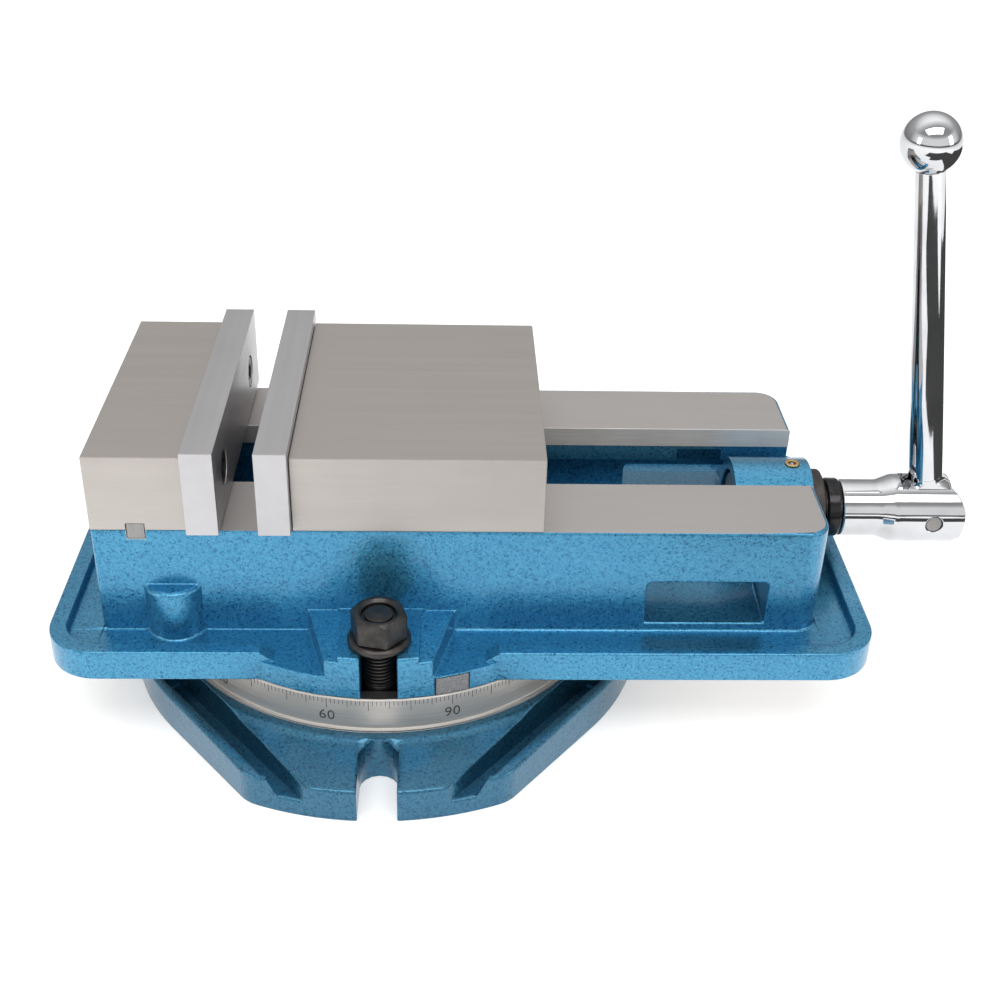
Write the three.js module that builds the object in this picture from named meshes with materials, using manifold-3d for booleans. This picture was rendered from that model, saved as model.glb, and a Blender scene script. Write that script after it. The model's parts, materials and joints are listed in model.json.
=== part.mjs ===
// A 160 mm machine vise on a swivel base, as an assembly of its separate pieces.
// Millimetres, +Z up. The origin is on the swivel axis, on the table. +X runs towards the crank handle.

import * as THREE from 'three';
import { mergeVertices } from 'three/addons/utils/BufferGeometryUtils.js';
import Module from 'manifold-3d';

const wasm = await Module();
wasm.setup();

// ---------------------------------------------------------------- driving dimensions

const GAP = 0.3;                 // clearance kept between pieces that touch
const OVERRUN = 20;              // how far a cutter reaches past what it cuts
const LAP = 1;                   // how far shapes that are joined, or just cut open, run into each other
const DEG = Math.PI / 180;

// swivel base
const BASE = {
  radius: 135, lugRadius: 151, lugHalfWidth: 61.5, lugCornerRun: 5,
  shoulderZ: 24, shoulderRadius: 120.5, rimRadius: 124, rimZ: 21.8, slope: 0.153,
  boreFloorZ: 8,
};
const RING = { radius: 115, topZ: 42.3, ledgeRadius: 116.4, ledgeZ: 24.9, ledgeRise: 0.5, chamfer: 0.7 };
const TSLOT = { radius: 99.5, neckHalf: 8.6, headHalf: 13.5, floorZ: 12, roofZ: 23 };
const LUG_SLOT = { halfWidth: 9.25, archY: 129.5 };
const GROOVE = { inner: 118, outer: 131, floorInner: 119.5, floorOuter: 126.5, floorZ: 9, end: 18 };
const SPIGOT = { radius: 28.2, bottomZ: 27, boreRadius: 28.6 };

// vise body
const BED_TOP = 110;
const BODY = { left: -134.5, right: 214.5, halfY: 74.5, bottomZ: 42.6, endCorner: 12, leftCorner: 2 };
const TRAY = { left: -159.5, right: 240, halfY: 100, floorZ: 53.5, rimZ: 58.4, rimWidth: 8.5, corner: 25 };
const EAR = { radius: 115, rootHalf: 35.5, tipHalf: 24.5, topZ: 62.8, padHalf: 19, padZ: 66,
  slotHalf: 8.6, archY: 98.5, dipHalf: 50, dipRun: 8 };
const CHANNEL = { left: -84, right: 190, half: 29, stripDepth: 10.5, lipHalf: 29.8, lipBottomZ: 90.5,
  wideHalf: 39.5, floorZ: 63, notchLeft: 155, notchTopZ: 97 };
const WINDOW = { left: 128, right: 187, bottomZ: 58, topZ: 82, corner: 3 };
const BUMP = { x: -99, centreY: 69.8, radius: 14.2, topZ: 80 };

// screw line
const SCREW_Z = 80;
const BOSS = { left: 178.6, right: 219, radius: 26, boreRadius: 14, pocketRadius: 19.5, pocketDepth: 19.4 };
const SCREW = { left: -66, threadEnd: 168, threadRadius: 11, neckRadius: 9.5, journalRadius: 10,
  flangeRadius: 18, flangeLeft: 180, flangeRight: 187.1, hexLeft: 236.9, hexRight: 256.5, hexFlats: 17,
  endBevel: 2 };
const BEARING = { boreRadius: 10.4, radius: 17.5, raceWidth: 2.7, cageWidth: 4.1, ballRadius: 2, ballCount: 10,
  bevel: 0.4, cageInset: 0.8, cageHalf: 1, cageBevel: 0.2 };
const BUSH = { left: 198.3, right: 218.7, radius: 13.7 };
const END_NUT = { left: 219.6, right: 226.4, radius: 20, bevel: 1.5 };
const LOCK_NUT = { left: 229, right: 236.6, radius: 15.5, bevel: 1 };
const OILER = { x: 210, seatZ: 105.5, seatRadius: 4, boreRadius: 3.4, depth: 9, ballRadius: 1.5,
  drillRadius: 1, cupRadius: 1.9, cupDepth: 2.4, flangeThick: 0.8, flangeBevel: 0.3 };

// jaws
const JAW_TOP = 148.9;
const JAW_BOTTOM = BED_TOP + GAP;
const PLATE = { thick: 15, halfY: 80, bottomZ: 111, topZ: 154, screwY: 50.7, screwZ: 131 };
const FIXED_PLATE_LEFT = -89;
const MOVING_PLATE_LEFT = -55.95;
const MOVING_JAW = { right: 77, guideHalf: 28.6, guideBottomZ: 99.4, guideLeft: -37, guideRight: 70,
  pocketHalf: 23, pocketTopZ: 137, pocketRight: 58 };
const KEY = { left: -117.8, right: -109, bottomZ: 105.4, topZ: 113.8 };
const JAW_BOLT = { x: -99, y: 64, radius: 6, holeRadius: 6.4, headRadius: 9, headHeight: 12, headBevel: 0.8,
  flats: 10, socketDepth: 6, tipBevel: 1, pocketRadius: 10.5, pocketTopZ: 76, tipZ: 132, holeTopZ: 135 };
const HALF_BALL = { x: -12, z: 117, radius: 12 };
const NUT = { left: -22, right: 50, half: 19, bottomZ: 64, topZ: 96, wingRight: -2, wingHalf: 37.5,
  wingBottomZ: 77, noseTopZ: 124.5, noseRight: 41.5 };
const SET_SCREW = { z: 117, radius: 5, left: 41.8, right: 73, flats: 5, socketDepth: 5, pointBevel: 1.5 };

// socket cap screws that hold the jaw plates
const CAP_SCREW = { radius: 5, headRadius: 8, headLength: 9.7, shankLength: 24, flats: 8, socketDepth: 5,
  headBevel: 0.6, tipBevel: 1 };
const CAP_HOLE = { radius: 5.4, pocketRadius: 8.8, pocketDepth: 10.3, spareDepth: 3 };

// hold-down bolts, washers and nuts
const CLAMP = { studRadius: 8, studBevel: 1, headHalf: 12.5, headZ: 12.4, headTopZ: 22.7, studTopZ: 81.6,
  washerRadius: 15, washerBore: 8.6, washerThick: 3.2, washerBevelRun: 1.6, washerBevelDrop: 1.2,
  nutFlats: 24, nutHeight: 13.2, nutBore: 8.3, nutBevelRun: 3.6, nutBevelDrop: 2.6, nutCrownInset: 0.6,
  nutSink: 1, nutTurn: -13 * DEG };

// index plate
const INDEX = { angle: -72.5 * DEG, halfWidth: 8, depth: 5, topZ: 52.4 };

// crank handle
const PIVOT = { x: 284.3, z: SCREW_Z };
const HUB = { left: 236.9, right: 300, neckRadius: 15, neckEnd: 258, bodyStart: 264, bodyRadius: 18,
  leftBevel: 0.8, leftRound: 1, endRound: 13, slotLeft: 268, slotHalf: 8.5, socketRight: 257 };
const PIN = { radius: 4.2, holeRadius: 4.5, halfLength: 17.4 };
const ARM = { lean: -9.4 * DEG, eyeRadius: 13.5, eyeHalf: 8.2, blockTop: 13, shoulderTop: 19,
  shoulderHalf: 6.7, rootZ: 22, rootRadius: 8.7, tipRadius: 7.05, shaftTop: 186, studRadius: 5, studTop: 196,
  ballCentre: 198.5, ballRadius: 14.3 };

const FINE = 72;                 // facets on the large rings
const MEDIUM = 28;               // facets on shafts and bosses
const SMALL = 16;                // facets on screws and pins

// ---------------------------------------------------------------- materials

function finish(color, roughness, metalness) {
  return new THREE.MeshStandardMaterial({ color, roughness, metalness });
}

const PAINT = finish(0x2f7fb0, 0.4, 0.1);
const GROUND_STEEL = finish(0xb4aea8, 0.35, 0.9);
const HARD_STEEL = finish(0xc4c3c8, 0.3, 0.9);
const BLACK_OXIDE = finish(0x2c2a29, 0.45, 0.7);
const PLAIN_STEEL = finish(0x9a9896, 0.4, 0.9);
const CHROME = finish(0xe4e6ea, 0.06, 1);
const BRASS = finish(0xc9a15a, 0.3, 0.9);
const BRONZE = finish(0xa97f45, 0.4, 0.9);

// ---------------------------------------------------------------- solids

/** Closed three.js geometry to a manifold solid, with its faces pointing out. */
function solid(geometry) {
  const bare = geometry.clone();
  bare.deleteAttribute('normal');
  bare.deleteAttribute('uv');
  const merged = mergeVertices(bare, 1e-4);
  const corners = merged.attributes.position.array;
  const faces = [];
  for (let i = 0; i < merged.index.count; i += 3) {
    const [a, b, c] = [0, 1, 2].map((k) => merged.index.getX(i + k));
    if (a !== b && b !== c && c !== a) faces.push([a, b, c]);
  }
  const inward = signedVolume(corners, faces) < 0;
  const triVerts = new Uint32Array(faces.flatMap(([a, b, c]) => (inward ? [a, c, b] : [a, b, c])));
  const vertProperties = new Float32Array(corners);
  return new wasm.Manifold(new wasm.Mesh({ numProp: 3, vertProperties, triVerts }));
}

function signedVolume(corners, faces) {
  const point = (i) => new THREE.Vector3().fromArray(corners, 3 * i);
  return faces.reduce((sum, [a, b, c]) => sum + point(a).dot(point(b).cross(point(c))), 0);
}

/** Manifold solid to a flat-shaded three.js geometry. */
function toGeometry(body) {
  const { vertProperties, triVerts, numProp } = body.getMesh();
  const geometry = new THREE.BufferGeometry();
  const positions = new Float32Array(triVerts.length * 3);
  triVerts.forEach((vertex, i) => {
    for (let k = 0; k < 3; k += 1) positions[3 * i + k] = vertProperties[numProp * vertex + k];
  });
  geometry.setAttribute('position', new THREE.BufferAttribute(positions, 3));
  geometry.computeVertexNormals();
  return geometry;
}

const join = (...bodies) => bodies.reduce((sum, body) => sum.add(body));
const cut = (body, ...tools) => tools.reduce((rest, tool) => rest.subtract(tool), body);

function box(x0, x1, y0, y1, z0, z1) {
  const geometry = new THREE.BoxGeometry(x1 - x0, y1 - y0, z1 - z0);
  return solid(geometry.translate((x0 + x1) / 2, (y0 + y1) / 2, (z0 + z1) / 2));
}

/** Box that is symmetric about the XZ plane. */
const slab = (x0, x1, halfY, z0, z1) => box(x0, x1, -halfY, halfY, z0, z1);

/** Upright rod through (x, y). */
function rodZ(radius, z0, z1, x = 0, y = 0, facets = MEDIUM) {
  const geometry = new THREE.CylinderGeometry(radius, radius, z1 - z0, facets).rotateX(Math.PI / 2);
  return solid(geometry.translate(x, y, (z0 + z1) / 2));
}

/** Rod along X through (y, z). */
function rodX(radius, x0, x1, y = 0, z = 0, facets = MEDIUM) {
  const geometry = new THREE.CylinderGeometry(radius, radius, x1 - x0, facets).rotateZ(-Math.PI / 2);
  return solid(geometry.translate((x0 + x1) / 2, y, z));
}

/** Rod along Y through (x, z), symmetric about the XZ plane. */
function rodY(radius, halfLength, x = 0, z = 0, facets = MEDIUM) {
  return solid(new THREE.CylinderGeometry(radius, radius, 2 * halfLength, facets).translate(x, 0, z));
}

const vectors = (points) => points.map(([a, b]) => new THREE.Vector2(a, b));

/** Turned piece about Z, from a profile of [radius, z] points. */
function turnZ(profile, facets = MEDIUM) {
  return solid(new THREE.LatheGeometry(vectors(profile), facets).rotateX(Math.PI / 2));
}

/** Turned piece about X, from a profile of [radius, x] points. */
function turnX(profile, facets = MEDIUM) {
  return solid(new THREE.LatheGeometry(vectors(profile), facets).rotateZ(-Math.PI / 2));
}

function extrude(shape, depth, curveSegments) {
  return new THREE.ExtrudeGeometry(shape, { depth, bevelEnabled: false, curveSegments });
}

/** Prism between two heights, from a shape drawn in (x, y). */
function prismZ(shape, z0, z1, curveSegments = 12) {
  return solid(extrude(shape, z1 - z0, curveSegments).translate(0, 0, z0));
}

/** Prism between two x values, from a shape drawn in (y, z). */
function prismX(shape, x0, x1, curveSegments = 12) {
  const toAxes = new THREE.Matrix4().makeBasis(
    new THREE.Vector3(0, 1, 0), new THREE.Vector3(0, 0, 1), new THREE.Vector3(1, 0, 0));
  return solid(extrude(shape, x1 - x0, curveSegments).applyMatrix4(toAxes).translate(x0, 0, 0));
}

/** Prism symmetric about the XZ plane, from a shape drawn in (x, z). */
function prismY(shape, halfY, curveSegments = 12) {
  return solid(extrude(shape, 2 * halfY, curveSegments).rotateX(Math.PI / 2).translate(0, halfY, 0));
}

const polygon = (points) => new THREE.Shape(vectors(points));

/** Rectangle whose left and right corners have their own radii. */
function roundedRectangle(x0, x1, y0, y1, leftRadius, rightRadius = leftRadius) {
  const shape = new THREE.Shape();
  shape.absarc(x0 + leftRadius, y0 + leftRadius, leftRadius, Math.PI, 1.5 * Math.PI);
  shape.absarc(x1 - rightRadius, y0 + rightRadius, rightRadius, -0.5 * Math.PI, 0);
  shape.absarc(x1 - rightRadius, y1 - rightRadius, rightRadius, 0, 0.5 * Math.PI);
  shape.absarc(x0 + leftRadius, y1 - leftRadius, leftRadius, 0.5 * Math.PI, Math.PI);
  return shape;
}

/** Ball about (x, y, z). */
function ball(radius, facets, x = 0, y = 0, z = 0) {
  return solid(new THREE.SphereGeometry(radius, facets, facets / 2).rotateX(Math.PI / 2).translate(x, y, z));
}

/** Hexagon with the given distance across its flats, drawn about the origin. */
function hexagon(flats) {
  const radius = flats / 2 / Math.cos(30 * DEG);
  const corner = (i) => [radius * Math.cos(i * 60 * DEG), radius * Math.sin(i * 60 * DEG)];
  return polygon([0, 1, 2, 3, 4, 5].map(corner));
}

/** The piece and its mirror image across the XZ plane. */
const bothSides = (body) => join(body, body.mirror([0, 1, 0]));

function piece(name, body, material) {
  const mesh = new THREE.Mesh(toGeometry(body), material);
  mesh.name = name;
  return mesh;
}

// ---------------------------------------------------------------- swivel base

/** Round plate with a straight-sided lug at the front and at the back. */
function baseOutline() {
  const { radius, lugRadius, lugHalfWidth, lugCornerRun } = BASE;
  const cornerAngle = Math.acos(lugHalfWidth / lugRadius);
  const tangentAngle = cornerAngle - Math.acos(radius / lugRadius);
  const arcStep = lugCornerRun / lugRadius;
  const polar = (r, angle) => new THREE.Vector2(r * Math.cos(angle), r * Math.sin(angle));
  const shape = new THREE.Shape();
  for (const side of [0, Math.PI]) {
    shape.absarc(0, 0, radius, side - tangentAngle, side + tangentAngle);
    const flank = polar(radius, side + tangentAngle);
    const corner = polar(lugRadius, side + cornerAngle);
    const beforeCorner = corner.clone().add(flank.sub(corner).setLength(lugCornerRun));
    const afterCorner = polar(lugRadius, side + cornerAngle + arcStep);
    shape.lineTo(beforeCorner.x, beforeCorner.y);
    shape.quadraticCurveTo(corner.x, corner.y, afterCorner.x, afterCorner.y);
    shape.absarc(0, 0, lugRadius, side + cornerAngle + arcStep, side + Math.PI - cornerAngle - arcStep);
    const mirrored = polar(lugRadius, side + Math.PI - cornerAngle);
    const mirroredFlank = polar(radius, side + Math.PI - tangentAngle);
    const past = mirrored.clone().add(mirroredFlank.sub(mirrored).setLength(lugCornerRun));
    shape.quadraticCurveTo(mirrored.x, mirrored.y, past.x, past.y);
  }
  return { shape, tangentAngle };
}

/** Drain groove beside one straight flank of a lug, at the flank's own angle. */
function drainGroove(angle, towardsLug) {
  const { inner, outer, floorInner, floorOuter, floorZ, end } = GROOVE;
  const section = polygon([[inner, BASE.shoulderZ + OVERRUN], [inner, BASE.shoulderZ], [floorInner, floorZ],
    [floorOuter, floorZ], [outer, BASE.shoulderZ], [outer, BASE.shoulderZ + OVERRUN]]);
  const length = BASE.lugRadius + end;
  const outward = new THREE.Vector3(Math.cos(angle), Math.sin(angle), 0);
  const along = new THREE.Vector3(Math.sin(angle), -Math.cos(angle), 0);
  const toAxes = new THREE.Matrix4().makeBasis(outward, new THREE.Vector3(0, 0, 1), along);
  const start = along.multiplyScalar(towardsLug ? -end : end - length);
  return solid(extrude(section, length).applyMatrix4(toAxes).translate(start.x, start.y, 0));
}

function swivelBase() {
  const { shoulderZ, shoulderRadius, rimRadius, rimZ, slope, lugRadius, boreFloorZ } = BASE;
  const { shape, tangentAngle } = baseOutline();
  const farRadius = lugRadius + OVERRUN;
  const top = turnZ([[0, 0], [farRadius, 0], [farRadius, rimZ - slope * (farRadius - rimRadius)],
    [rimRadius, rimZ], [shoulderRadius, shoulderZ], [0, shoulderZ]], FINE);
  const plate = prismZ(shape, 0, shoulderZ + LAP, 32).intersect(top);
  const ring = turnZ([[0, boreFloorZ], [RING.ledgeRadius, boreFloorZ], [RING.ledgeRadius, RING.ledgeZ],
    [RING.radius, RING.ledgeZ + RING.ledgeRise], [RING.radius, RING.topZ - RING.chamfer],
    [RING.radius - RING.chamfer, RING.topZ], [0, RING.topZ]], FINE);
  const { radius, neckHalf, headHalf, floorZ, roofZ } = TSLOT;
  const aboveRing = RING.topZ + LAP;
  const tSlot = turnZ([[radius - headHalf, floorZ], [radius + headHalf, floorZ], [radius + headHalf, roofZ],
    [radius + neckHalf, roofZ], [radius + neckHalf, aboveRing], [radius - neckHalf, aboveRing],
    [radius - neckHalf, roofZ], [radius - headHalf, roofZ], [radius - headHalf, floorZ]], FINE);
  const boltEntry = box(radius - headHalf, radius + headHalf, -headHalf, headHalf, -LAP, floorZ + LAP);
  const bore = rodZ(SPIGOT.boreRadius, boreFloorZ, aboveRing);
  const lugSlot = join(rodZ(LUG_SLOT.halfWidth, -LAP, shoulderZ + LAP, 0, -LUG_SLOT.archY, SMALL),
    box(-LUG_SLOT.halfWidth, LUG_SLOT.halfWidth, -farRadius, -LUG_SLOT.archY, -LAP, shoulderZ + LAP));
  const groove = drainGroove(-tangentAngle, true).add(drainGroove(Math.PI + tangentAngle, false));
  return cut(plate.subtract(bothSides(groove)).add(ring), tSlot, boltEntry, bore, bothSides(lugSlot));
}

// ---------------------------------------------------------------- vise body

/** Coolant tray with a raised rim that dips where the round ears stand out. */
function tray() {
  const { left, right, halfY, floorZ, rimZ, rimWidth, corner } = TRAY;
  const outer = prismZ(roundedRectangle(left, right, -halfY, halfY, corner), BODY.bottomZ, rimZ);
  const inner = prismZ(roundedRectangle(left + rimWidth, right - rimWidth, rimWidth - halfY, halfY - rimWidth,
    corner - rimWidth), floorZ, rimZ + LAP);
  const over = rimZ + LAP;
  const dip = prismY(polygon([[-EAR.dipHalf, floorZ], [EAR.dipHalf, floorZ], [EAR.dipHalf + EAR.dipRun, over],
    [-EAR.dipHalf - EAR.dipRun, over]]), EAR.radius + OVERRUN);
  const bulge = rodZ(EAR.radius, BODY.bottomZ, floorZ, 0, 0, FINE)
    .intersect(slab(-EAR.dipHalf - EAR.dipRun, EAR.dipHalf + EAR.dipRun, EAR.radius, 0, floorZ));
  return cut(outer, inner, dip).add(bulge);
}

/** Raised ear and bolt pad at the front, up to the round edge of the swivel. */
function ear() {
  const { radius, rootHalf, tipHalf, topZ, padHalf, padZ } = EAR;
  const root = LAP - BODY.halfY;
  const block = prismZ(polygon([[-rootHalf, root], [-tipHalf, -radius], [tipHalf, -radius], [rootHalf, root]]),
    BODY.bottomZ, topZ);
  const pad = box(-padHalf, padHalf, -radius, root, BODY.bottomZ, padZ);
  return block.add(pad).intersect(rodZ(radius, 0, BED_TOP, 0, 0, FINE));
}

function earSlot() {
  const { slotHalf, archY, radius } = EAR;
  return join(rodZ(slotHalf, 0, SCREW_Z, 0, -archY, SMALL),
    box(-slotHalf, slotHalf, -radius - OVERRUN, -archY, 0, SCREW_Z));
}

/** Slot for the nut, undercut below a lip on each side, with the lip notched at its right end. */
function channel() {
  const { left, right, half, stripDepth, lipHalf, lipBottomZ, wideHalf, floorZ, notchLeft,
    notchTopZ } = CHANNEL;
  const stripZ = BED_TOP - stripDepth;
  return join(slab(left, BODY.right + OVERRUN, half, floorZ, BED_TOP + LAP),
    slab(left, BODY.right + OVERRUN, lipHalf, floorZ, stripZ),
    slab(left, right, wideHalf, floorZ, lipBottomZ),
    slab(notchLeft, BOSS.left, wideHalf, floorZ, notchTopZ));
}

/** Chip window through one wall, with a floor that falls outwards. */
function chipWindow() {
  const { left, right, bottomZ, topZ, corner } = WINDOW;
  const far = -BODY.halfY - OVERRUN;
  const near = LAP - CHANNEL.wideHalf;
  const fall = (CHANNEL.floorZ - bottomZ) / (BODY.halfY - CHANNEL.wideHalf);
  const farFloorZ = bottomZ - fall * OVERRUN;
  const nearFloorZ = CHANNEL.floorZ + fall * LAP;
  const throat = prismX(polygon([[far, farFloorZ], [near, nearFloorZ], [near, topZ], [far, topZ]]), left, right);
  const outline = roundedRectangle(left, right, bottomZ - OVERRUN, topZ, corner);
  const opening = prismY(outline, BODY.halfY + OVERRUN, 4);
  return throat.intersect(opening);
}

/** Housing for the screw's bearings, on a pedestal between the rails. */
function bearingBoss() {
  const { left, right, radius } = BOSS;
  return join(rodX(radius, left, right, 0, SCREW_Z),
    slab(left, BODY.right, radius, BODY.bottomZ, SCREW_Z));
}

function bearingBores() {
  const { left, right, boreRadius, pocketRadius, pocketDepth } = BOSS;
  return join(rodX(boreRadius, left - LAP, right + LAP, 0, SCREW_Z),
    rodX(pocketRadius, left - LAP, left + pocketDepth, 0, SCREW_Z),
    rodZ(OILER.boreRadius, SCREW_Z, BED_TOP, OILER.x, 0, SMALL),
    rodZ(OILER.seatRadius, OILER.seatZ, BED_TOP, OILER.x, 0, SMALL));
}

/** Half-round bump on the wall, over the pocket of a jaw bolt. */
const wallBump = () => rodZ(BUMP.radius, BODY.bottomZ, BUMP.topZ, BUMP.x, -BUMP.centreY, MEDIUM);

function jawBoltHole() {
  const { x, y, holeRadius, pocketRadius, pocketTopZ } = JAW_BOLT;
  return join(rodZ(holeRadius, BODY.bottomZ, BED_TOP + LAP, x, -y, SMALL),
    rodZ(pocketRadius, BODY.bottomZ - LAP, pocketTopZ, x, -y, SMALL));
}

function indexPocket() {
  const { angle, halfWidth, depth, topZ } = INDEX;
  const reach = EAR.radius - depth;
  return slab(reach - GAP, EAR.radius + OVERRUN, halfWidth + GAP, BODY.bottomZ - LAP, topZ + GAP)
    .rotate([0, 0, angle / DEG]);
}

function viseBody() {
  const { left, right, halfY, bottomZ, endCorner, leftCorner } = BODY;
  const outline = roundedRectangle(left, right, -halfY, halfY, leftCorner, endCorner);
  const block = prismZ(outline, bottomZ, BED_TOP, 8);
  const spigot = rodZ(SPIGOT.radius, SPIGOT.bottomZ, bottomZ + LAP);
  const casting = join(tray(), block, bothSides(ear()), bothSides(wallBump()));
  const keyway = slab(KEY.left, KEY.right, halfY + OVERRUN, KEY.bottomZ, BED_TOP + LAP);
  const open = cut(casting, channel(), bothSides(chipWindow()));
  return cut(join(open, bearingBoss(), spigot), bearingBores(), bothSides(earSlot()), bothSides(jawBoltHole()),
    keyway, indexPocket());
}

/** Small steel plate let into the round edge above the scale. */
function indexPlate() {
  const { halfWidth, depth, topZ } = INDEX;
  const edge = rodZ(EAR.radius, BODY.bottomZ + GAP, topZ, 0, 0, FINE);
  return slab(EAR.radius - depth, EAR.radius + LAP, halfWidth, 0, BED_TOP).intersect(edge);
}

// ---------------------------------------------------------------- fasteners

/** Socket cap screw along -X, with its head's outer face at the origin. */
function capScrew() {
  const { radius, headRadius, headLength, shankLength, flats, socketDepth, headBevel, tipBevel } = CAP_SCREW;
  const tip = -headLength - shankLength;
  const blank = turnX([[0, tip], [radius - tipBevel, tip], [radius, tip + tipBevel], [radius, -headLength],
    [headRadius, -headLength], [headRadius, -headBevel], [headRadius - headBevel, 0], [0, 0]], SMALL);
  return cut(blank, prismX(hexagon(flats), -socketDepth, LAP));
}

/** Stepped hole for a cap screw, with its mouth at the origin and running along -X. */
function capScrewHole() {
  const { radius, pocketRadius, pocketDepth, spareDepth } = CAP_HOLE;
  return join(rodX(radius, -CAP_SCREW.headLength - CAP_SCREW.shankLength - spareDepth, LAP, 0, 0, SMALL),
    rodX(pocketRadius, -pocketDepth, LAP, 0, 0, SMALL));
}

/** Bolt that holds the fixed jaw down, with its head's bottom face at the origin. */
function jawBolt() {
  const { radius, headRadius, headHeight, headBevel, flats, socketDepth, tipBevel, pocketTopZ,
    tipZ } = JAW_BOLT;
  const tip = tipZ - (pocketTopZ - GAP - headHeight);
  const blank = turnZ([[0, 0], [headRadius - headBevel, 0], [headRadius, headBevel], [headRadius, headHeight],
    [radius, headHeight], [radius, tip - tipBevel], [radius - tipBevel, tip], [0, tip]], SMALL);
  return cut(blank, prismZ(hexagon(flats), -LAP, socketDepth));
}

/** T-headed bolt that slides in the base's round slot. */
function tBolt() {
  const { studRadius, studBevel, headHalf, headZ, headTopZ, studTopZ } = CLAMP;
  const stud = turnZ([[0, headZ + LAP], [studRadius, headZ + LAP], [studRadius, studTopZ - studBevel],
    [studRadius - studBevel, studTopZ], [0, studTopZ]], MEDIUM);
  return slab(-headHalf, headHalf, headHalf, headZ, headTopZ).add(stud);
}

/** Thick washer with a bevelled top, with its bottom face at the origin. */
function clampWasher() {
  const { washerRadius, washerBore, washerThick, washerBevelRun, washerBevelDrop } = CLAMP;
  return turnZ([[washerBore, 0], [washerRadius, 0], [washerRadius, washerThick - washerBevelDrop],
    [washerRadius - washerBevelRun, washerThick], [washerBore, washerThick], [washerBore, 0]], MEDIUM);
}

/** Hexagon nut with a bevelled top and a countersunk bore, with its bottom face at the origin. */
function clampNut() {
  const { nutFlats, nutHeight, nutBore, nutBevelRun, nutBevelDrop, nutCrownInset, nutSink } = CLAMP;
  const crown = nutFlats / 2 - nutCrownInset;
  const widest = crown + nutBevelRun;
  const bevel = turnZ([[0, -LAP], [widest, -LAP], [widest, nutHeight - nutBevelDrop], [crown, nutHeight],
    [0, nutHeight]], MEDIUM);
  const bore = turnZ([[0, -LAP], [nutBore, -LAP], [nutBore, nutHeight - nutSink],
    [nutBore + nutSink + GAP, nutHeight + GAP], [0, nutHeight + GAP]], MEDIUM);
  return prismZ(hexagon(nutFlats), 0, nutHeight).intersect(bevel).subtract(bore);
}

/** Headless screw along X with a hexagon socket in its right end. */
function setScrew() {
  const { radius, left, right, flats, socketDepth, pointBevel } = SET_SCREW;
  const blank = turnX([[0, left], [radius - pointBevel, left], [radius, left + pointBevel], [radius, right],
    [0, right]], SMALL);
  return cut(blank, prismX(hexagon(flats), right - socketDepth, right + LAP));
}

// ---------------------------------------------------------------- jaws

/** Hardened plate with two stepped holes, its back at x = 0 and its gripping face looking along direction. */
function jawPlate(direction) {
  const { thick, halfY, bottomZ, topZ, screwY, screwZ } = PLATE;
  const plate = direction > 0 ? slab(0, thick, halfY, bottomZ, topZ) : slab(-thick, 0, halfY, bottomZ, topZ);
  const turned = direction > 0 ? capScrewHole() : capScrewHole().mirror([1, 0, 0]);
  const holes = [-screwY, screwY].map((y) => turned.translate([direction * thick, y, screwZ]));
  return cut(plate, ...holes);
}

/** Holes for the plate's screws in a jaw block, drilled along direction from its face at faceX. */
function jawTappings(faceX, direction) {
  const depth = CAP_SCREW.headLength + CAP_SCREW.shankLength + CAP_HOLE.spareDepth - PLATE.thick;
  const [low, high] = direction > 0 ? [faceX - LAP, faceX + depth] : [faceX - depth, faceX + LAP];
  return [-PLATE.screwY, PLATE.screwY].map((y) => rodX(CAP_HOLE.radius, low, high, y, PLATE.screwZ, SMALL));
}

function fixedJaw() {
  const face = FIXED_PLATE_LEFT - GAP;
  const block = slab(BODY.left, face, BODY.halfY, JAW_BOTTOM, JAW_TOP);
  const keyway = slab(KEY.left, KEY.right, BODY.halfY + LAP, 0, KEY.topZ);
  const bolt = rodZ(JAW_BOLT.holeRadius, 0, JAW_BOLT.holeTopZ, JAW_BOLT.x, -JAW_BOLT.y, SMALL);
  return cut(block, keyway, bothSides(bolt), ...jawTappings(face, -1));
}

/** Moving jaw, hollow underneath, with a sloping wall and a round seat for the half ball. */
function movingJaw() {
  const { right, guideHalf, guideBottomZ, guideLeft, guideRight, pocketHalf, pocketTopZ,
    pocketRight } = MOVING_JAW;
  const face = MOVING_PLATE_LEFT + PLATE.thick + GAP;
  const block = slab(face, right, BODY.halfY, JAW_BOTTOM, JAW_TOP);
  const guide = slab(guideLeft, guideRight, guideHalf, guideBottomZ, JAW_BOTTOM + LAP);
  const slopeX = (z) => HALF_BALL.x + z - HALF_BALL.z;
  const low = guideBottomZ - LAP;
  const pocket = prismY(polygon([[slopeX(low), low], [pocketRight, low], [pocketRight, pocketTopZ],
    [slopeX(pocketTopZ), pocketTopZ]]), pocketHalf);
  const seat = ball(HALF_BALL.radius + 2 * GAP, SMALL, HALF_BALL.x, 0, HALF_BALL.z);
  const setScrewHole = rodX(SET_SCREW.radius + GAP, pocketRight - LAP, right + LAP, 0, SET_SCREW.z, SMALL);
  return cut(block.add(guide), pocket, seat, setScrewHole, ...jawTappings(face, 1));
}

/** Half ball between the nut and the moving jaw, its flat face sloping at 45 degrees. */
function halfBall() {
  const { radius } = HALF_BALL;
  const keep = slab(-2 * radius, -GAP, radius + LAP, -2 * radius, 2 * radius);
  return ball(radius, SMALL).intersect(keep).rotate([0, 45, 0]);
}

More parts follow.
